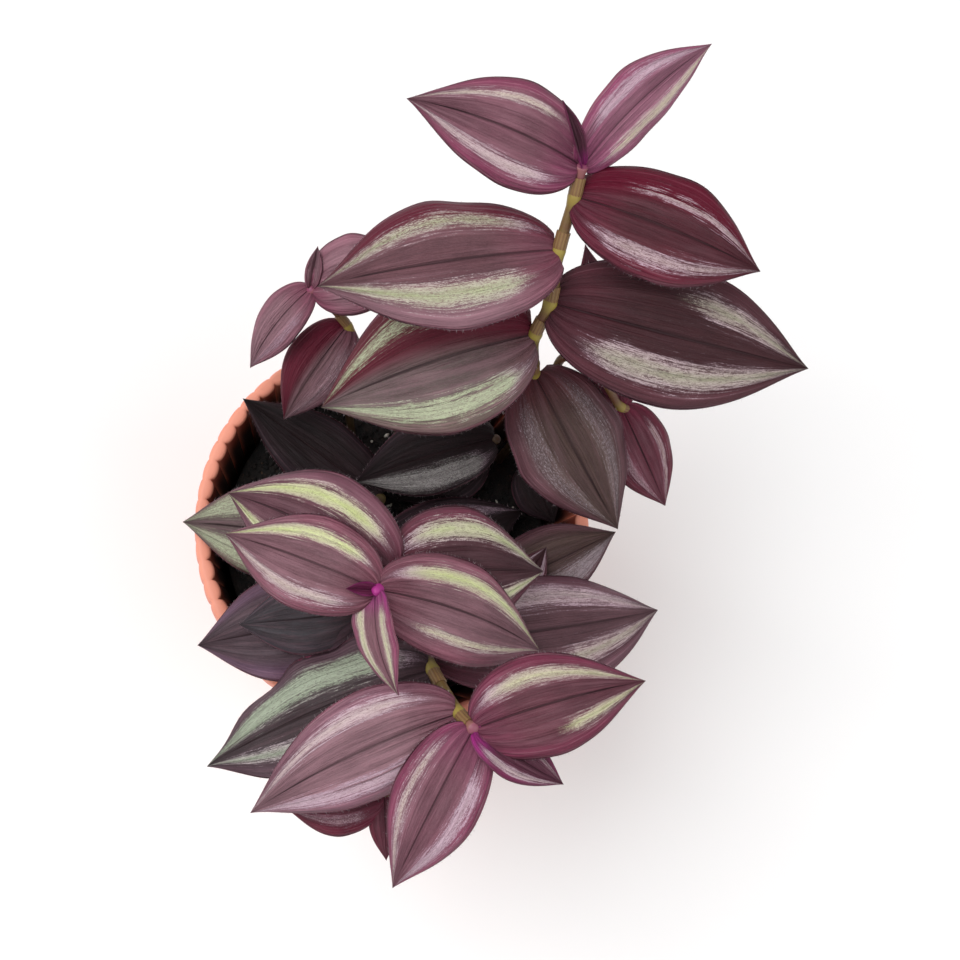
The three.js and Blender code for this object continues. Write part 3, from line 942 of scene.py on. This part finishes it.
@dataclass(frozen=True)
class StalkFinish:
    """Olive nodes, brown internodes and pale pink-striped sheaths."""

    node: Colour = linear(156, 138, 60)
    internode: Colour = linear(98, 62, 40)
    olive: Colour = linear(116, 98, 46)
    sheath: Colour = linear(136, 108, 64)
    stripe: Colour = linear(108, 66, 48)
    # Dark brown for the low stalk: painted shade in the pot, also the stems' browner lower parts.
    earthy: Colour = linear(50, 36, 26)
    heart: Colour = linear(164, 44, 128)
    stripes: float = 14.0

    def make(self) -> bpy.types.Material:
        """Build the material.

        Returns:
            The material.
        """
        s = Shader("stalk_skin")
        sheath = s.attribute("sheath")
        grain = s.noise(s.place(), 900.0, 3.0, 0.6)
        patch = s.noise(s.place(), 130.0, 2.0, 0.5)
        lines = (s.attribute("turn") * (2.0 * math.pi * self.stripes)).sin()
        body = s.mix(patch.step(0.35, 0.65), self.internode, self.olive)
        body = s.mix(grain * 0.3, body, self.stripe)
        body = s.mix(s.attribute("node").clamp(), body, self.node)
        cover = s.mix((lines * 0.5 + 0.5) * 0.5 + 0.2 * patch, self.sheath, self.stripe)
        body = s.mix(sheath.clamp(), body, cover)
        _, _, z = s.parts(s.place())
        # Painted shade low in the pot, also the stems' browner lower parts: darker brown below the rim.
        body = s.mix((1.0 - z.step(0.088, 0.1)) * 0.85, body, self.earthy)
        body = s.mix(s.attribute("heart").clamp(), body, self.heart)
        return s.finish(body, 0.38 + 0.2 * grain, s.bump(lines * 0.3 * sheath + grain * 0.5, 0.0002, 0.7))


@dataclass(frozen=True)
class HairFinish:
    """Fine pale hairs."""

    pale: Colour = linear(214, 200, 204)
    rosy: Colour = linear(170, 146, 156)

    def make(self) -> bpy.types.Material:
        """Build the material.

        Returns:
            The material.
        """
        s = Shader("leaf_hair")
        shift = s.noise(s.place(), 300.0, 1.0, 0.5)
        return s.finish(s.mix(shift.step(0.3, 0.7), self.pale, self.rosy), 0.5 + 0.2 * shift)


@dataclass(frozen=True)
class PotFinish:
    """Salmon moulded plastic, with painted light on the rim's top face and painted shade darkening down the
    hollow: sizes in metres.
    """

    face: Colour = linear(226, 130, 104)
    # Pale salmon for the cloudy tone, and painted light on the rim's top face.
    pale: Colour = linear(238, 160, 136)
    # Painted shade in the pot's hollow: red-brown below the rim, also standing for light glowing through the
    # wall, then near black lower down.
    deep: Colour = linear(112, 46, 32)
    dark: Colour = linear(34, 14, 10)
    dusty: Colour = linear(150, 104, 84)
    foot_radius: float = 0.035
    widening: float = 0.0126
    height: float = 0.085

    def make(self) -> bpy.types.Material:
        """Build the material.

        Returns:
            The material.
        """
        s = Shader("pot_plastic")
        place = s.place()
        x, y, z = s.parts(place)
        wall = (self.foot_radius + self.widening * z / self.height) - (x * x + y * y) ** 0.5
        # Painted shade: the hollow darkens downwards to near black; its red-brown tone also stands for light
        # glowing through the wall.
        hollow_shade = wall.step(0.0002, 0.0016) * z.step(0.03, 0.05)
        top = z.step(0.0835, 0.0848)
        cloud = s.noise(place, 60.0, 3.0, 0.55)
        grain = s.noise(place, 1900.0, 2.0, 0.5)
        dust = s.noise(place, 420.0, 4.0, 0.62)
        body = s.mix(cloud.step(0.3, 0.7) * 0.35, self.face, self.pale)
        depth = s.mix((1.0 - z.step(0.075, 0.084)), self.deep, self.dark)
        body = s.mix(hollow_shade * (1.0 - top), body, depth)
        # Painted light: the rim's top face drawn paler.
        body = s.mix(top * 0.65, body, self.pale)
        body = s.mix(dust.step(0.62, 0.8) * 0.22, body, self.dusty)
        normal = s.bump(grain * 0.4 + dust * 0.6, 0.00006, 0.6)
        return s.finish(body, 0.4 + 0.16 * cloud + 0.08 * grain, normal, 0.45)


@dataclass(frozen=True)
class SoilFinish:
    """Nearly black moist peat."""

    dark: Colour = linear(9, 7, 7)
    brown: Colour = linear(34, 25, 20)
    fibre: Colour = linear(92, 68, 50)

    def make(self) -> bpy.types.Material:
        """Build the material.

        Returns:
            The material.
        """
        s = Shader("peat")
        place = s.place()
        clump = s.noise(place, 420.0, 4.0, 0.65)
        grain = s.noise(place, 2400.0, 3.0, 0.6)
        body = s.mix(clump.step(0.35, 0.75), self.dark, self.brown)
        body = s.mix(s.noise(place, 900.0, 2.0, 0.7).step(0.66, 0.72) * 0.5, body, self.fibre)
        return s.finish(body, 0.75 + 0.2 * grain, s.bump(clump * 0.7 + grain * 0.3, 0.0009))


@dataclass(frozen=True)
class SpeckFinish:
    """White perlite grains."""

    shaded: Colour = linear(168, 160, 146)
    white: Colour = linear(222, 218, 208)

    def make(self) -> bpy.types.Material:
        """Build the material.

        Returns:
            The material.
        """
        s = Shader("perlite")
        pores = s.noise(s.place(), 1800.0, 3.0, 0.6)
        body = s.mix(pores.step(0.35, 0.65), self.shaded, self.white)
        return s.finish(body, 0.75 + 0.15 * pores, s.bump(pores, 0.0002, 0.8))


@dataclass
class Blades:
    """Leaf blades and their hairs, grown by rule from one point to a leaf: sizes in millimetres."""

    stations: int = 49
    girth: int = 49
    thickness: float = 0.6
    lobe: float = 0.015
    tip_point: float = 0.35
    shoulder: float = 0.42
    cup: float = 0.42
    wave: float = 0.05
    hem: float = 0.012
    weld: float = 1e-3
    hairs: int = 150
    hair_length: float = 0.9
    hair_radius: float = 0.027

    @staticmethod
    def seeds(stem: Stem) -> Mesh:
        """One vertex to a leaf, with all its sizes as attributes.

        Args:
            stem: the stem.

        Returns:
            The mesh.
        """
        leaves = stem.leaves
        spots = stem.spots(JOINT_STEPS)
        roots = [spots[JOINT_STEPS * leaf.joint] * MM for leaf in leaves]
        mesh = bpy.data.meshes.new(stem.name + "_seeds")
        mesh.from_pydata([tuple(root) for root in roots], [], [])
        units = {DEG: ("heading", "rise", "roll", "droop", "fold"), MM: ("span", "breadth")}
        units[1.0] = ("sweep", "belly", "crimson", "ruffle")
        for unit, names in units.items():
            for name in names:
                carry(mesh, name, [getattr(leaf, name) * unit for leaf in leaves])
        carry(mesh, "phase", [leaf.heading for leaf in leaves])
        carry(mesh, "key", [float((i * 7 + len(stem.name) * 3) % 23) for i in range(len(leaves))])
        for half in ("left", "right"):
            for trait in TRAITS:
                carry(mesh, f"{half}_{trait}", [getattr(getattr(leaf, half), trait) for leaf in leaves])
        for place, name in enumerate(("body", "edge", "flush", "silver")):
            layer = mesh.attributes.new(name, "FLOAT_COLOR", "POINT")
            layer.data.foreach_set("color", [c for leaf in leaves for c in linear(*leaf.skin.value[place])])
        origin = mesh.attributes.new("root", "FLOAT_VECTOR", "POINT")
        origin.data.foreach_set("vector", [c for root in roots for c in root])
        return mesh

    def surface(self, g: Growth, u: Term, v: Term, lift: Any) -> Arrow:
        """Where a point of a blade is.

        Args:
            g: the tree that the point is in.
            u: its place along the midrib, 0 to 1.
            v: its place across, -1 to 1.
            lift: its height off the blade's middle, in metres.

        Returns:
            The place in metres.
        """
        names = ("heading", "rise", "roll", "droop", "fold", "span", "belly", "phase")
        heading, rise, roll, droop, fold, span, belly, phase = (g.carried(name) for name in names)
        run = g.xyz(rise.cos() * heading.cos(), rise.cos() * heading.sin(), rise.sin())
        side = g.xyz(-heading.sin(), heading.cos(), 0.0)
        up = run.cross(side)
        bend = droop * u
        along = span * bend.sin() / droop
        fall = span * (1.0 - bend.cos()) / droop
        spot = g.carried_arrow("root") + run * along - up * fall
        spot = spot + side * (span * g.carried("sweep") * u * u)
        normal = run * bend.sin() + up * bend.cos()
        tangent = run * bend.cos() - up * bend.sin()
        across = side * roll.cos() + normal * roll.sin()
        face = normal * roll.cos() - side * roll.sin()
        low = (1.0 - u / belly).above(0.0)
        high = ((u - belly) / (1.0 - belly)).above(0.0)
        share = (1.0 - low * low) ** self.shoulder * (1.0 - high**1.8) * (1.0 - self.tip_point * high**4.0)
        half = 0.5 * g.carried("breadth") * share
        wave = self.wave * abs(v) * (9.0 * u + 3.0 * v + phase).sin()
        frill = g.carried("ruffle") * abs(v) ** 3.0 * (23.0 * u + 2.0 * v + phase).sin()
        height = half * (abs(v) * fold.sin() - self.cup * v * v + wave + frill) + lift
        back = span * self.lobe * v * v * (1.0 - u) ** 4.0
        return spot - tangent * back + across * (half * v * fold.cos()) + face * height

    def blade_tree(self) -> Growth:
        """The tree that turns one point to a leaf into closed blades.

        Returns:
            The maker of the tree.
        """
        sizes = {"Stations": self.stations, "Girth": self.girth, "Blade Thickness": self.thickness * MM}
        g = Growth("leaf_blades", {**sizes, "Blade Finish": None})
        counts = {"Vertices X": g.given("Stations"), "Vertices Y": g.given("Girth")}
        sheet = g.out("GeometryNodeMeshGrid", None, {"Size X": 1.0, "Size Y": 1.0, **counts})
        x, y, _ = g.parts(g.position())
        t = x + 0.5
        ring = y + 0.5
        geometry = g.store(sheet, "along", self.hem + (1 - self.hem) * t * t * (3.0 - 2.0 * t))
        geometry = g.store(geometry, "across_blade", 1.0 - abs(4.0 * ring - 2.0))
        geometry = g.store(geometry, "layer", (2.0 * math.pi * ring).sin())
        geometry = g.store(geometry, "ends", 1.0 - (2.0 * t - 1.0) ** 10.0)
        whole = g.real(g.copies(g.given("Geometry"), geometry))
        u, v, layer = g.carried("along"), g.carried("across_blade"), g.carried("layer")
        body = g.carried("ends") * (1.0 - v**6.0)
        sign = (layer * 1e6).below(1.0).above(-1.0)
        lift = sign * body * g.number("Blade Thickness") * 0.5
        moved = g.moved(whole, Position=self.surface(g, u, v, lift))
        closed = g.out("GeometryNodeMergeByDistance", None, {"Geometry": moved, "Distance": self.weld * MM})
        return g.end(closed, "Blade Finish")

    def hair_tree(self) -> Growth:
        """The tree that sets fine hairs along the margins of the blades.

        Returns:
            The maker of the tree.
        """
        sizes = {"Hairs": self.hairs, "Hair Length": self.hair_length * MM}
        g = Growth("leaf_hairs", {**sizes, "Hair Finish": None})
        row = g.store(g.out("GeometryNodeMeshLine", None, {"Count": g.given("Hairs")}), "seat", g.index())
        whole = g.real(g.copies(g.given("Geometry"), row))
        seat = g.carried("seat")
        flank = 1.0 - 2.0 * seat.modulo(2.0)
        u = (seat / g.number("Hairs") + g.chance(-0.01, 0.01, 5)).above(0.03).below(0.985)
        rim = self.surface(g, u, flank * 0.985, 0.0)
        inner = self.surface(g, u, flank * 0.8, 0.0)
        stray = g.xyz(g.chance(-0.5, 0.5, 1), g.chance(-0.5, 0.5, 2), g.chance(-0.2, 0.6, 3))
        way = (rim - inner).unit() + stray
        moved = g.moved(g.store(whole, "way", way, "FLOAT_VECTOR"), Position=rim)
        dots = g.out("GeometryNodeMeshToPoints", None, {"Mesh": moved})
        turned = g.out("FunctionNodeAlignRotationToVector", {"axis": "Z"}, {"Vector": g.carried_arrow("way")})
        cone = {"Radius Top": 0.0, "Radius Bottom": self.hair_radius * MM, "Depth": g.given("Hair Length")}
        hair = g.out("GeometryNodeMeshCone", {"fill_type": "NONE"}, {"Vertices": 3, **cone})
        size = g.chance(0.45, 1.15, 4) * (g.carried("span") * 25.0).below(1.0) ** 2.0
        return g.end(g.copies(dots, hair, Rotation=turned, Scale=size), "Hair Finish")


@dataclass
class Trace:
    """The points of paths to sweep, each with its radius and its share of each colour."""

    spots: list[Vector] = field(default_factory=list)
    edges: list[tuple[int, int]] = field(default_factory=list)
    rows: list[tuple[float, ...]] = field(default_factory=list)

    def add(self, spot: Vector, joined: bool, girth: float, shares: tuple[float, ...]) -> None:
        """Add a point.

        Args:
            spot: its place in millimetres.
            joined: whether the path runs on to it from the point before.
            girth: the stalk's radius there, in millimetres.
            shares: how much it looks like a node, a sheath and a magenta heart, each 0 to 1.
        """
        if joined:
            self.edges.append((len(self.spots) - 1, len(self.spots)))
        self.spots.append(spot)
        self.rows.append((girth * MM, *shares))

    def mesh(self, name: str) -> Mesh:
        """The paths as a mesh of edges that carries the numbers.

        Args:
            name: the mesh's name.

        Returns:
            The mesh.
        """
        mesh = bpy.data.meshes.new(name)
        mesh.from_pydata([tuple(spot * MM) for spot in self.spots], self.edges, [])
        for label, values in zip(("girth", "node", "sheath", "heart"), zip(*self.rows)):
            carry(mesh, label, values)
        return mesh


@dataclass
class Stalks:
    """Stems with swollen nodes and sheaths, swept along the joints: sizes in millimetres."""

    steps: int = 10
    corners: int = 16
    taper: float = 0.25
    swell: float = 0.35
    swell_reach: float = 1.3
    node_reach: float = 2.0
    sheath_length: float = 4.0
    sheath_extra: float = 0.28
    sheath_flare: tuple[float, ...] = (0.5, 0.95, 1.0, 0.95, 0.95, 1.0, 1.05)
    sheath_share: float = 0.8
    buried: float = 6.0
    bud: float = 1.5
    young_bud: float = 0.35
    bud_steps: tuple[tuple[float, float], ...] = ((0.6, 0.85), (1.1, 0.7), (1.5, 0.45), (1.66, 0.12))
    young_height: float = 105.0
    young_heart: float = 0.4

    def sheaths(self, stem: Stem, spots: Sequence[Vector], trace: Trace) -> None:
        """Add the path of the sheath above each joint that carries a leaf.

        Args:
            stem: the stem.
            spots: the points along it.
            trace: the paths, which it adds to.
        """
        count = len(self.sheath_flare) - 1
        for start in sorted({leaf.joint * self.steps for leaf in stem.leaves}):
            if start >= len(spots) - 1:
                continue
            gap = (spots[start + self.steps] - spots[start]).length
            for k, flare in enumerate(self.sheath_flare):
                reach = min(self.sheath_share, self.sheath_length / gap) * k / count * self.steps
                low = min(int(reach), self.steps - 1)
                spot = spots[start + low].lerp(spots[start + low + 1], reach - low)
                trace.add(spot, k > 0, stem.radius * 0.85 + self.sheath_extra * flare, (0.0, 1.0, 0.0))

    def line(self, stem: Stem) -> Mesh:
        """The paths of a stem, its end bud and its sheaths.

        Args:
            stem: the stem.

        Returns:
            The mesh.
        """
        spots = stem.spots(self.steps)
        last = len(spots) - 1
        path = [Vector((spots[0].x, spots[0].y, SOIL_TOP - self.buried))] + spots
        joints = [spots[self.steps * leaf.joint] for leaf in stem.leaves]
        young = self.young_heart if spots[-1].z > self.young_height else 0.0
        trace = Trace()
        for i, spot in enumerate(path):
            share = max(0, i - 1) / last
            near = min((spot - joint).length for joint in joints)
            swell = self.swell * math.exp(-((near / self.swell_reach) ** 2))
            girth = stem.radius * (1 - self.taper * share) + swell
            node = math.exp(-((near / self.node_reach) ** 2)) * (1 - 0.7 * share**8)
            heart = 1.0 if stem.heart and share > 0.97 else young * max(0.0, share - 0.85) / 0.15
            trace.add(spot, i > 0, girth, (node, 0.0, heart))
        tip = (path[-1] - path[-2]).normalized() * 0.6 + Vector((0, 0, 0.4))
        reach = self.bud if stem.heart else self.young_bud * self.bud
        for rise, width in self.bud_steps:
            trace.add(path[-1] + tip * rise * reach, True, girth * width, (0.0, 0.0, heart))
        self.sheaths(stem, spots, trace)
        return trace.mesh(stem.name + "_line")

    def tree(self) -> Growth:
        """The tree that sweeps a round section along the paths.

        Returns:
            The maker of the tree.
        """
        g = Growth("stalk_sweep", {"Corners": self.corners, "Stalk Finish": None})
        path = g.out("GeometryNodeMeshToCurve", None, {"Mesh": g.given("Geometry")})
        sized = g.out("GeometryNodeSetCurveRadius", None, {"Curve": path, "Radius": g.carried("girth")})
        around = {"Resolution": g.given("Corners"), "Radius": 1.0}
        section = g.out("GeometryNodeCurvePrimitiveCircle", None, around)
        marked = g.store(section, "turn", g.index() / g.number("Corners"))
        swept = {"Curve": sized, "Profile Curve": marked, "Fill Caps": True, "Scale": g.carried("girth")}
        return g.end(g.out("GeometryNodeCurveToMesh", None, swept), "Stalk Finish")


@dataclass
class Pot:
    """The fluted pot: sizes in millimetres, as in the part's source."""

    height: float = 85.0
    rim_radius: float = 49.4
    foot_radius: float = 35.0
    flutes: int = 60
    flute_depth: float = 1.1
    wall: float = 1.8
    rim_band: float = 2.4
    rim_depth: float = 7.0
    under_rim: float = 0.6
    floor_top: float = 4.0
    recess: float = 1.5
    drain_holes: int = 6
    drain_radius: float = 3.5
    drain_circle: float = 21.0
    drain_cut: float = 20.0
    drain_sides: int = 32
    sides: int = 10
    rows: int = 8
    sharp: float = 50.0

    def wall_radius(self, z: float) -> float:
        """The wall's outer radius at a height."""
        top = self.rim_radius - self.rim_band + self.under_rim
        return self.foot_radius + (top - self.foot_radius) * z / self.height

    def lobe(self, index: int) -> float:
        """The flutes' outline: 0 in a sharp notch, 1 on a round crest."""
        share = 2 * (index % self.sides) / self.sides - 1
        return math.sqrt(max(0.0, 1 - share * share))

    def outline(self) -> list[tuple[float, float, float]]:
        """(radius, height, flute depth) along the section, from the foot's centre round to the floor's.

        Returns:
            The rows.
        """
        foot, height, floor = self.foot_radius, self.height, self.floor_top
        rim, crest = self.rim_radius, self.flute_depth
        lip, top = height - self.rim_depth, rim - self.rim_band
        low = self.wall_radius(floor) - self.wall
        shares = [k / self.rows for k in range(1, self.rows + 1)]
        rows = [(9.0, 0.0, 0.0), (9.3, self.recess, 0.0), (foot - 4.3, self.recess, 0.0)]
        rows += [(foot - 4, 0.3, 0.0), (foot - 3.6, 0.0, 0.0), (foot - 0.6, 0.0, 0.0), (foot, 0.6, 0.0)]
        rows += [(self.wall_radius(lip * share), lip * share, -0.6 * share) for share in shares]
        rows += [(rim - 0.7, lip + 0.1, -0.4), (rim - 0.42, lip + 0.6, -0.4), (rim - 0.4, lip + 2.5, -0.4)]
        rows += [(rim - 0.4, height - 1.3, -0.4), (rim - 0.5, height - 0.6, -0.4)]
        rows += [(rim - 0.8, height - 0.15, -0.35), (rim - 1.2, height, 0.0)]
        rows += [(top + 0.8, height, crest - 0.4), (top + 0.3, height - 0.2, crest - 0.2)]
        rows += [(top + 0.05, height - 0.7, crest)]
        for share in shares:
            z = height - 0.8 + (floor + 0.8 - height) * share
            rows.append((top + (low - top) * share, z, crest + (0.5 - crest) * share))
        return rows + [(low - 1.5, floor, 0.0), (low * 0.6, floor, 0.0), (9.0, floor, 0.0)]

    def blank(self) -> Mesh:
        """The closed wall and floor, before the drain holes are cut.

        Returns:
            The mesh.
        """
        made = bmesh.new()
        count = self.flutes * self.sides
        turn = 2 * math.pi / count
        rings = []
        for radius, z, depth in self.outline():
            spots = [polar(radius - depth * self.lobe(i), turn * i, z) for i in range(count)]
            rings.append([made.verts.new(spot) for spot in spots])
        for low, high in zip(rings, rings[1:]):
            stitch(made, low, high)
        made.faces.new(list(reversed(rings[0])))
        made.faces.new(rings[-1])
        bmesh.ops.recalc_face_normals(made, faces=made.faces[:])
        return settled(made, "pot_wall")

    def drills(self) -> Mesh:
        """The round bars that cut the drain holes.

        Returns:
            The mesh.
        """
        made = bmesh.new()
        radius = self.drain_radius * MM
        for i in range(self.drain_holes):
            bmesh.ops.create_cone(
                made,
                cap_ends=True,
                segments=self.drain_sides,
                radius1=radius,
                radius2=radius,
                depth=self.drain_cut * MM,
                matrix=Matrix.Translation(polar(self.drain_circle, 2 * math.pi * i / self.drain_holes, 0)),
            )
        return settled(made, "pot_holes")

    def shell(self) -> Mesh:
        """The wall and floor with the drain holes cut through.

        Returns:
            The mesh.
        """
        body = linked("pot_blank", self.blank())
        tool = linked("pot_holes", self.drills())
        cut = body.modifiers.new("holes", "BOOLEAN")
        cut.operation = "DIFFERENCE"
        cut.solver = "EXACT"
        cut.object = tool
        mesh = baked(body)
        bpy.data.objects.remove(body)
        bpy.data.objects.remove(tool)
        mesh.name = "pot_shell"
        mesh.materials.clear()
        mesh.shade_smooth()
        return mesh

    def build(self) -> None:
        """Make the pot and its finish."""
        pot = piece_of("pot_shell", self.shell(), PotFinish().make())
        pot.modifiers.new("edges", "EDGE_SPLIT").split_angle = self.sharp * DEG
        pot.data = baked(pot)
        pot.modifiers.clear()
        seated(pot, ["pot"])


@dataclass
class Soil:
    """Peat with crumbs, fibres and perlite grains: sizes in millimetres."""

    top: float = SOIL_TOP
    radius: float = 42.0
    bottom: float = 4.3
    bottom_radius: float = 31.9
    crown: float = 1.4
    uneven: float = 0.45
    bed_seed: int = 11
    sides: int = 96
    rings: int = 26
    edge_gap: float = 2.2
    crumbs: int = 2600
    crumb_size: float = 0.95
    crumb_seed: int = 5
    crumb_lift: float = 0.1
    crumb_rough: float = 1.1
    grains: int = 46
    grain_size: float = 0.8
    grain_seed: int = 9
    grain_lift: float = 0.5

    def level(self, share: float) -> float:
        """The soil's height at a share of its radius."""
        return self.top - 0.3 + self.crown * (1 - share * share)

    def bed(self) -> Mesh:
        """The soil's body with an uneven crumbly top.

        Returns:
            The mesh.
        """
        chance = random.Random(self.bed_seed)
        made = bmesh.new()
        levels = [(self.bottom_radius, self.bottom, 0.0), (self.radius - 0.4, self.top - 1.2, 0.0)]
        for i in range(self.rings):
            share = 1 - i / self.rings
            levels.append(((self.radius - 0.6) * share, self.level(share), 1.0))
        rings: list[Ring] = []
        turns = [2 * math.pi * k / self.sides for k in range(self.sides)]
        for radius, z, rough in levels:
            lifts = [rough * chance.uniform(-self.uneven, self.uneven) for _ in turns]
            rings.append([made.verts.new(polar(radius, turn, z + lift)) for turn, lift in zip(turns, lifts)])
        made.faces.new(list(reversed(rings[0])))
        for low, high in zip(rings, rings[1:]):
            stitch(made, low, high)
        crest = made.verts.new(polar(0, 0, self.level(0)))
        for k, spot in enumerate(rings[-1]):
            made.faces.new((spot, rings[-1][(k + 1) % self.sides], crest))
        mesh = settled(made, "soil_bed")
        mesh.shade_smooth()
        return mesh

    def seeds(self, count: int, seed: int, lift: float) -> Mesh:
        """Points spread over the soil's top.

        Args:
            count: how many.
            seed: the seed of their places.
            lift: how far they lie above the bed.

        Returns:
            A mesh of loose points.
        """
        chance = random.Random(seed)
        points = []
        for _ in range(count):
            radius = (self.radius - self.edge_gap) * math.sqrt(chance.random())
            angle = chance.uniform(0, 2 * math.pi)
            points.append(tuple(polar(radius, angle, self.level(radius / self.radius) + lift)))
        mesh = bpy.data.meshes.new("soil_seeds")
        mesh.from_pydata(points, [], [])
        return mesh

    def crumb_tree(self) -> Growth:
        """The tree that sets a rough grain of random size and turn on each point.

        Returns:
            The maker of the tree.
        """
        g = Growth("soil_crumbs", {"Grain Size": self.crumb_size * MM, "Grain Finish": None})
        grain = g.out("GeometryNodeMeshIcoSphere", None, {"Radius": g.given("Grain Size"), "Subdivisions": 1})
        place = g.position()
        fine = {"Vector": place * 1300.0, "Scale": 1.0, "Detail": 2.0}
        noise = Term(g, g.out("ShaderNodeTexNoise", None, fine))
        push = place.unit() * ((noise - 0.5) * self.crumb_rough * g.number("Grain Size"))
        rough = g.moved(grain, Offset=push)
        turns = {0: (-3.1, -3.1, -3.1), 1: (3.1, 3.1, 3.1), "Seed": 2}
        turn = g.live("FunctionNodeRandomValue", {"data_type": "FLOAT_VECTOR"}, turns)
        size = g.xyz(g.chance(0.35, 1.3, 3), g.chance(0.35, 1.1, 4), g.chance(0.3, 0.8, 5))
        return g.end(g.copies(g.given("Geometry"), rough, Rotation=turn, Scale=size), "Grain Finish")

    def build(self) -> None:
        """Make the bed, the crumbs and the perlite."""
        peat = SoilFinish().make()
        seated(piece_of("soil_bed", self.bed(), peat), ["soil"])
        tree = self.crumb_tree()
        crumbs = self.seeds(self.crumbs, self.crumb_seed, self.crumb_lift)
        seated(tree.grow("soil_crumbs", crumbs, {"Grain Finish": peat}))
        grains = self.seeds(self.grains, self.grain_seed, self.grain_lift)
        values = {"Grain Size": self.grain_size * MM, "Grain Finish": SpeckFinish().make()}
        seated(tree.grow("soil_perlite", grains, values))


@dataclass
class Plant:
    """All the leafy stems."""

    blades: Blades = field(default_factory=Blades)
    stalks: Stalks = field(default_factory=Stalks)

    def build(self) -> None:
        """Grow each stem's blades, stalk and hairs. The blades stand for the CAD node."""
        parts = (
            ("blades", self.blades.seeds, self.blades.blade_tree(), {"Blade Finish": LeafFinish().make()}),
            ("stalk", self.stalks.line, self.stalks.tree(), {"Stalk Finish": StalkFinish().make()}),
            ("hairs", self.blades.seeds, self.blades.hair_tree(), {"Hair Finish": HairFinish().make()}),
        )
        for stem in STEMS:
            for part, seeds, tree, values in parts:
                piece = tree.grow(f"{stem.name}_{part}", seeds(stem), values)
                seated(piece, [stem.name] if part == "blades" else [])


@dataclass
class Studio:
    """The pale floor, the soft lights and the camera: sizes in metres, angles in degrees and radians."""

    elevation: float = 72.0
    roll: float = 0.75
    distance: float = 0.320
    lens: float = 48.4
    sensor: float = 36.0
    near: float = 0.01
    rim_height: float = 0.085
    shift_right: float = -0.02014
    shift_up: float = -0.01129
    floor_reach: float = 3.0
    daylight: float = 0.5
    aim_height: float = 0.1

    def floor(self) -> None:
        """A wide plain pale floor."""
        s = Shader("studio_floor")
        mottle = s.noise(s.place(), 3.0, 2.0, 0.5)
        material = s.finish(s.mix(mottle, (0.93, 0.93, 0.93, 1), (0.96, 0.96, 0.96, 1)), 0.9)
        made = bmesh.new()
        reach = self.floor_reach
        corners = ((-reach, -reach), (reach, -reach), (reach, reach), (-reach, reach))
        made.faces.new([made.verts.new((x, y, 0.0)) for x, y in corners])
        piece_of("floor", settled(made, "floor"), material)

    def camera(self) -> None:
        """The camera at the photograph's viewing angle."""
        tilt = self.elevation * DEG
        right0 = Vector((1, 0, 0))
        up0 = Vector((0, math.sin(tilt), math.cos(tilt)))
        back = Vector((0, -math.cos(tilt), math.sin(tilt)))
        right = math.cos(self.roll) * right0 + math.sin(self.roll) * up0
        up = -math.sin(self.roll) * right0 + math.cos(self.roll) * up0
        spot = Vector((0, 0, self.rim_height)) + back * self.distance
        spot = spot - right * self.shift_right - up * self.shift_up
        data = bpy.data.cameras.new("view")
        data.lens = self.lens
        data.sensor_width = self.sensor
        data.clip_start = self.near
        made = linked("view", data)
        made.matrix_world = Matrix.Translation(spot) @ Matrix((right, up, back)).transposed().to_4x4()
        bpy.context.scene.camera = made

    def lamp(self, name: str, spot: Sequence[float], size: float, power: float) -> None:
        """One square soft light aimed at the plant.

        Args:
            name: its name.
            spot: its place.
            size: the length of its side.
            power: its power in watts.
        """
        data = bpy.data.lights.new(name, "AREA")
        data.size = size
        data.energy = power
        made = linked(name, data)
        made.location = spot
        aim = Vector((0, 0, self.aim_height)) - Vector(spot)
        made.rotation_euler = aim.to_track_quat("-Z", "Y").to_euler()

    def lights(self) -> None:
        """Soft daylight from above with a fill from the far side."""
        world = bpy.data.worlds.new("daylight")
        world.use_nodes = True
        sky = world.node_tree.nodes["Background"].inputs
        sky["Color"].default_value = (1, 1, 1, 1)
        sky["Strength"].default_value = self.daylight
        bpy.context.scene.world = world
        bpy.context.scene.view_settings.view_transform = "Standard"
        self.lamp("key", (-0.6, -0.35, 1.15), 0.9, 12.5)
        self.lamp("fill", (0.8, 0.2, 1.0), 1.2, 5)

    def build(self) -> None:
        """Set everything up."""
        self.floor()
        self.camera()
        self.lights()


def main() -> None:
    """Build the pot, its soil, the plant and the studio."""
    for part in (Pot(), Soil(), Plant(), Studio()):
        part.build()
        LOG.info("%s done", type(part).__name__)


if __name__ == "__main__":
    main()
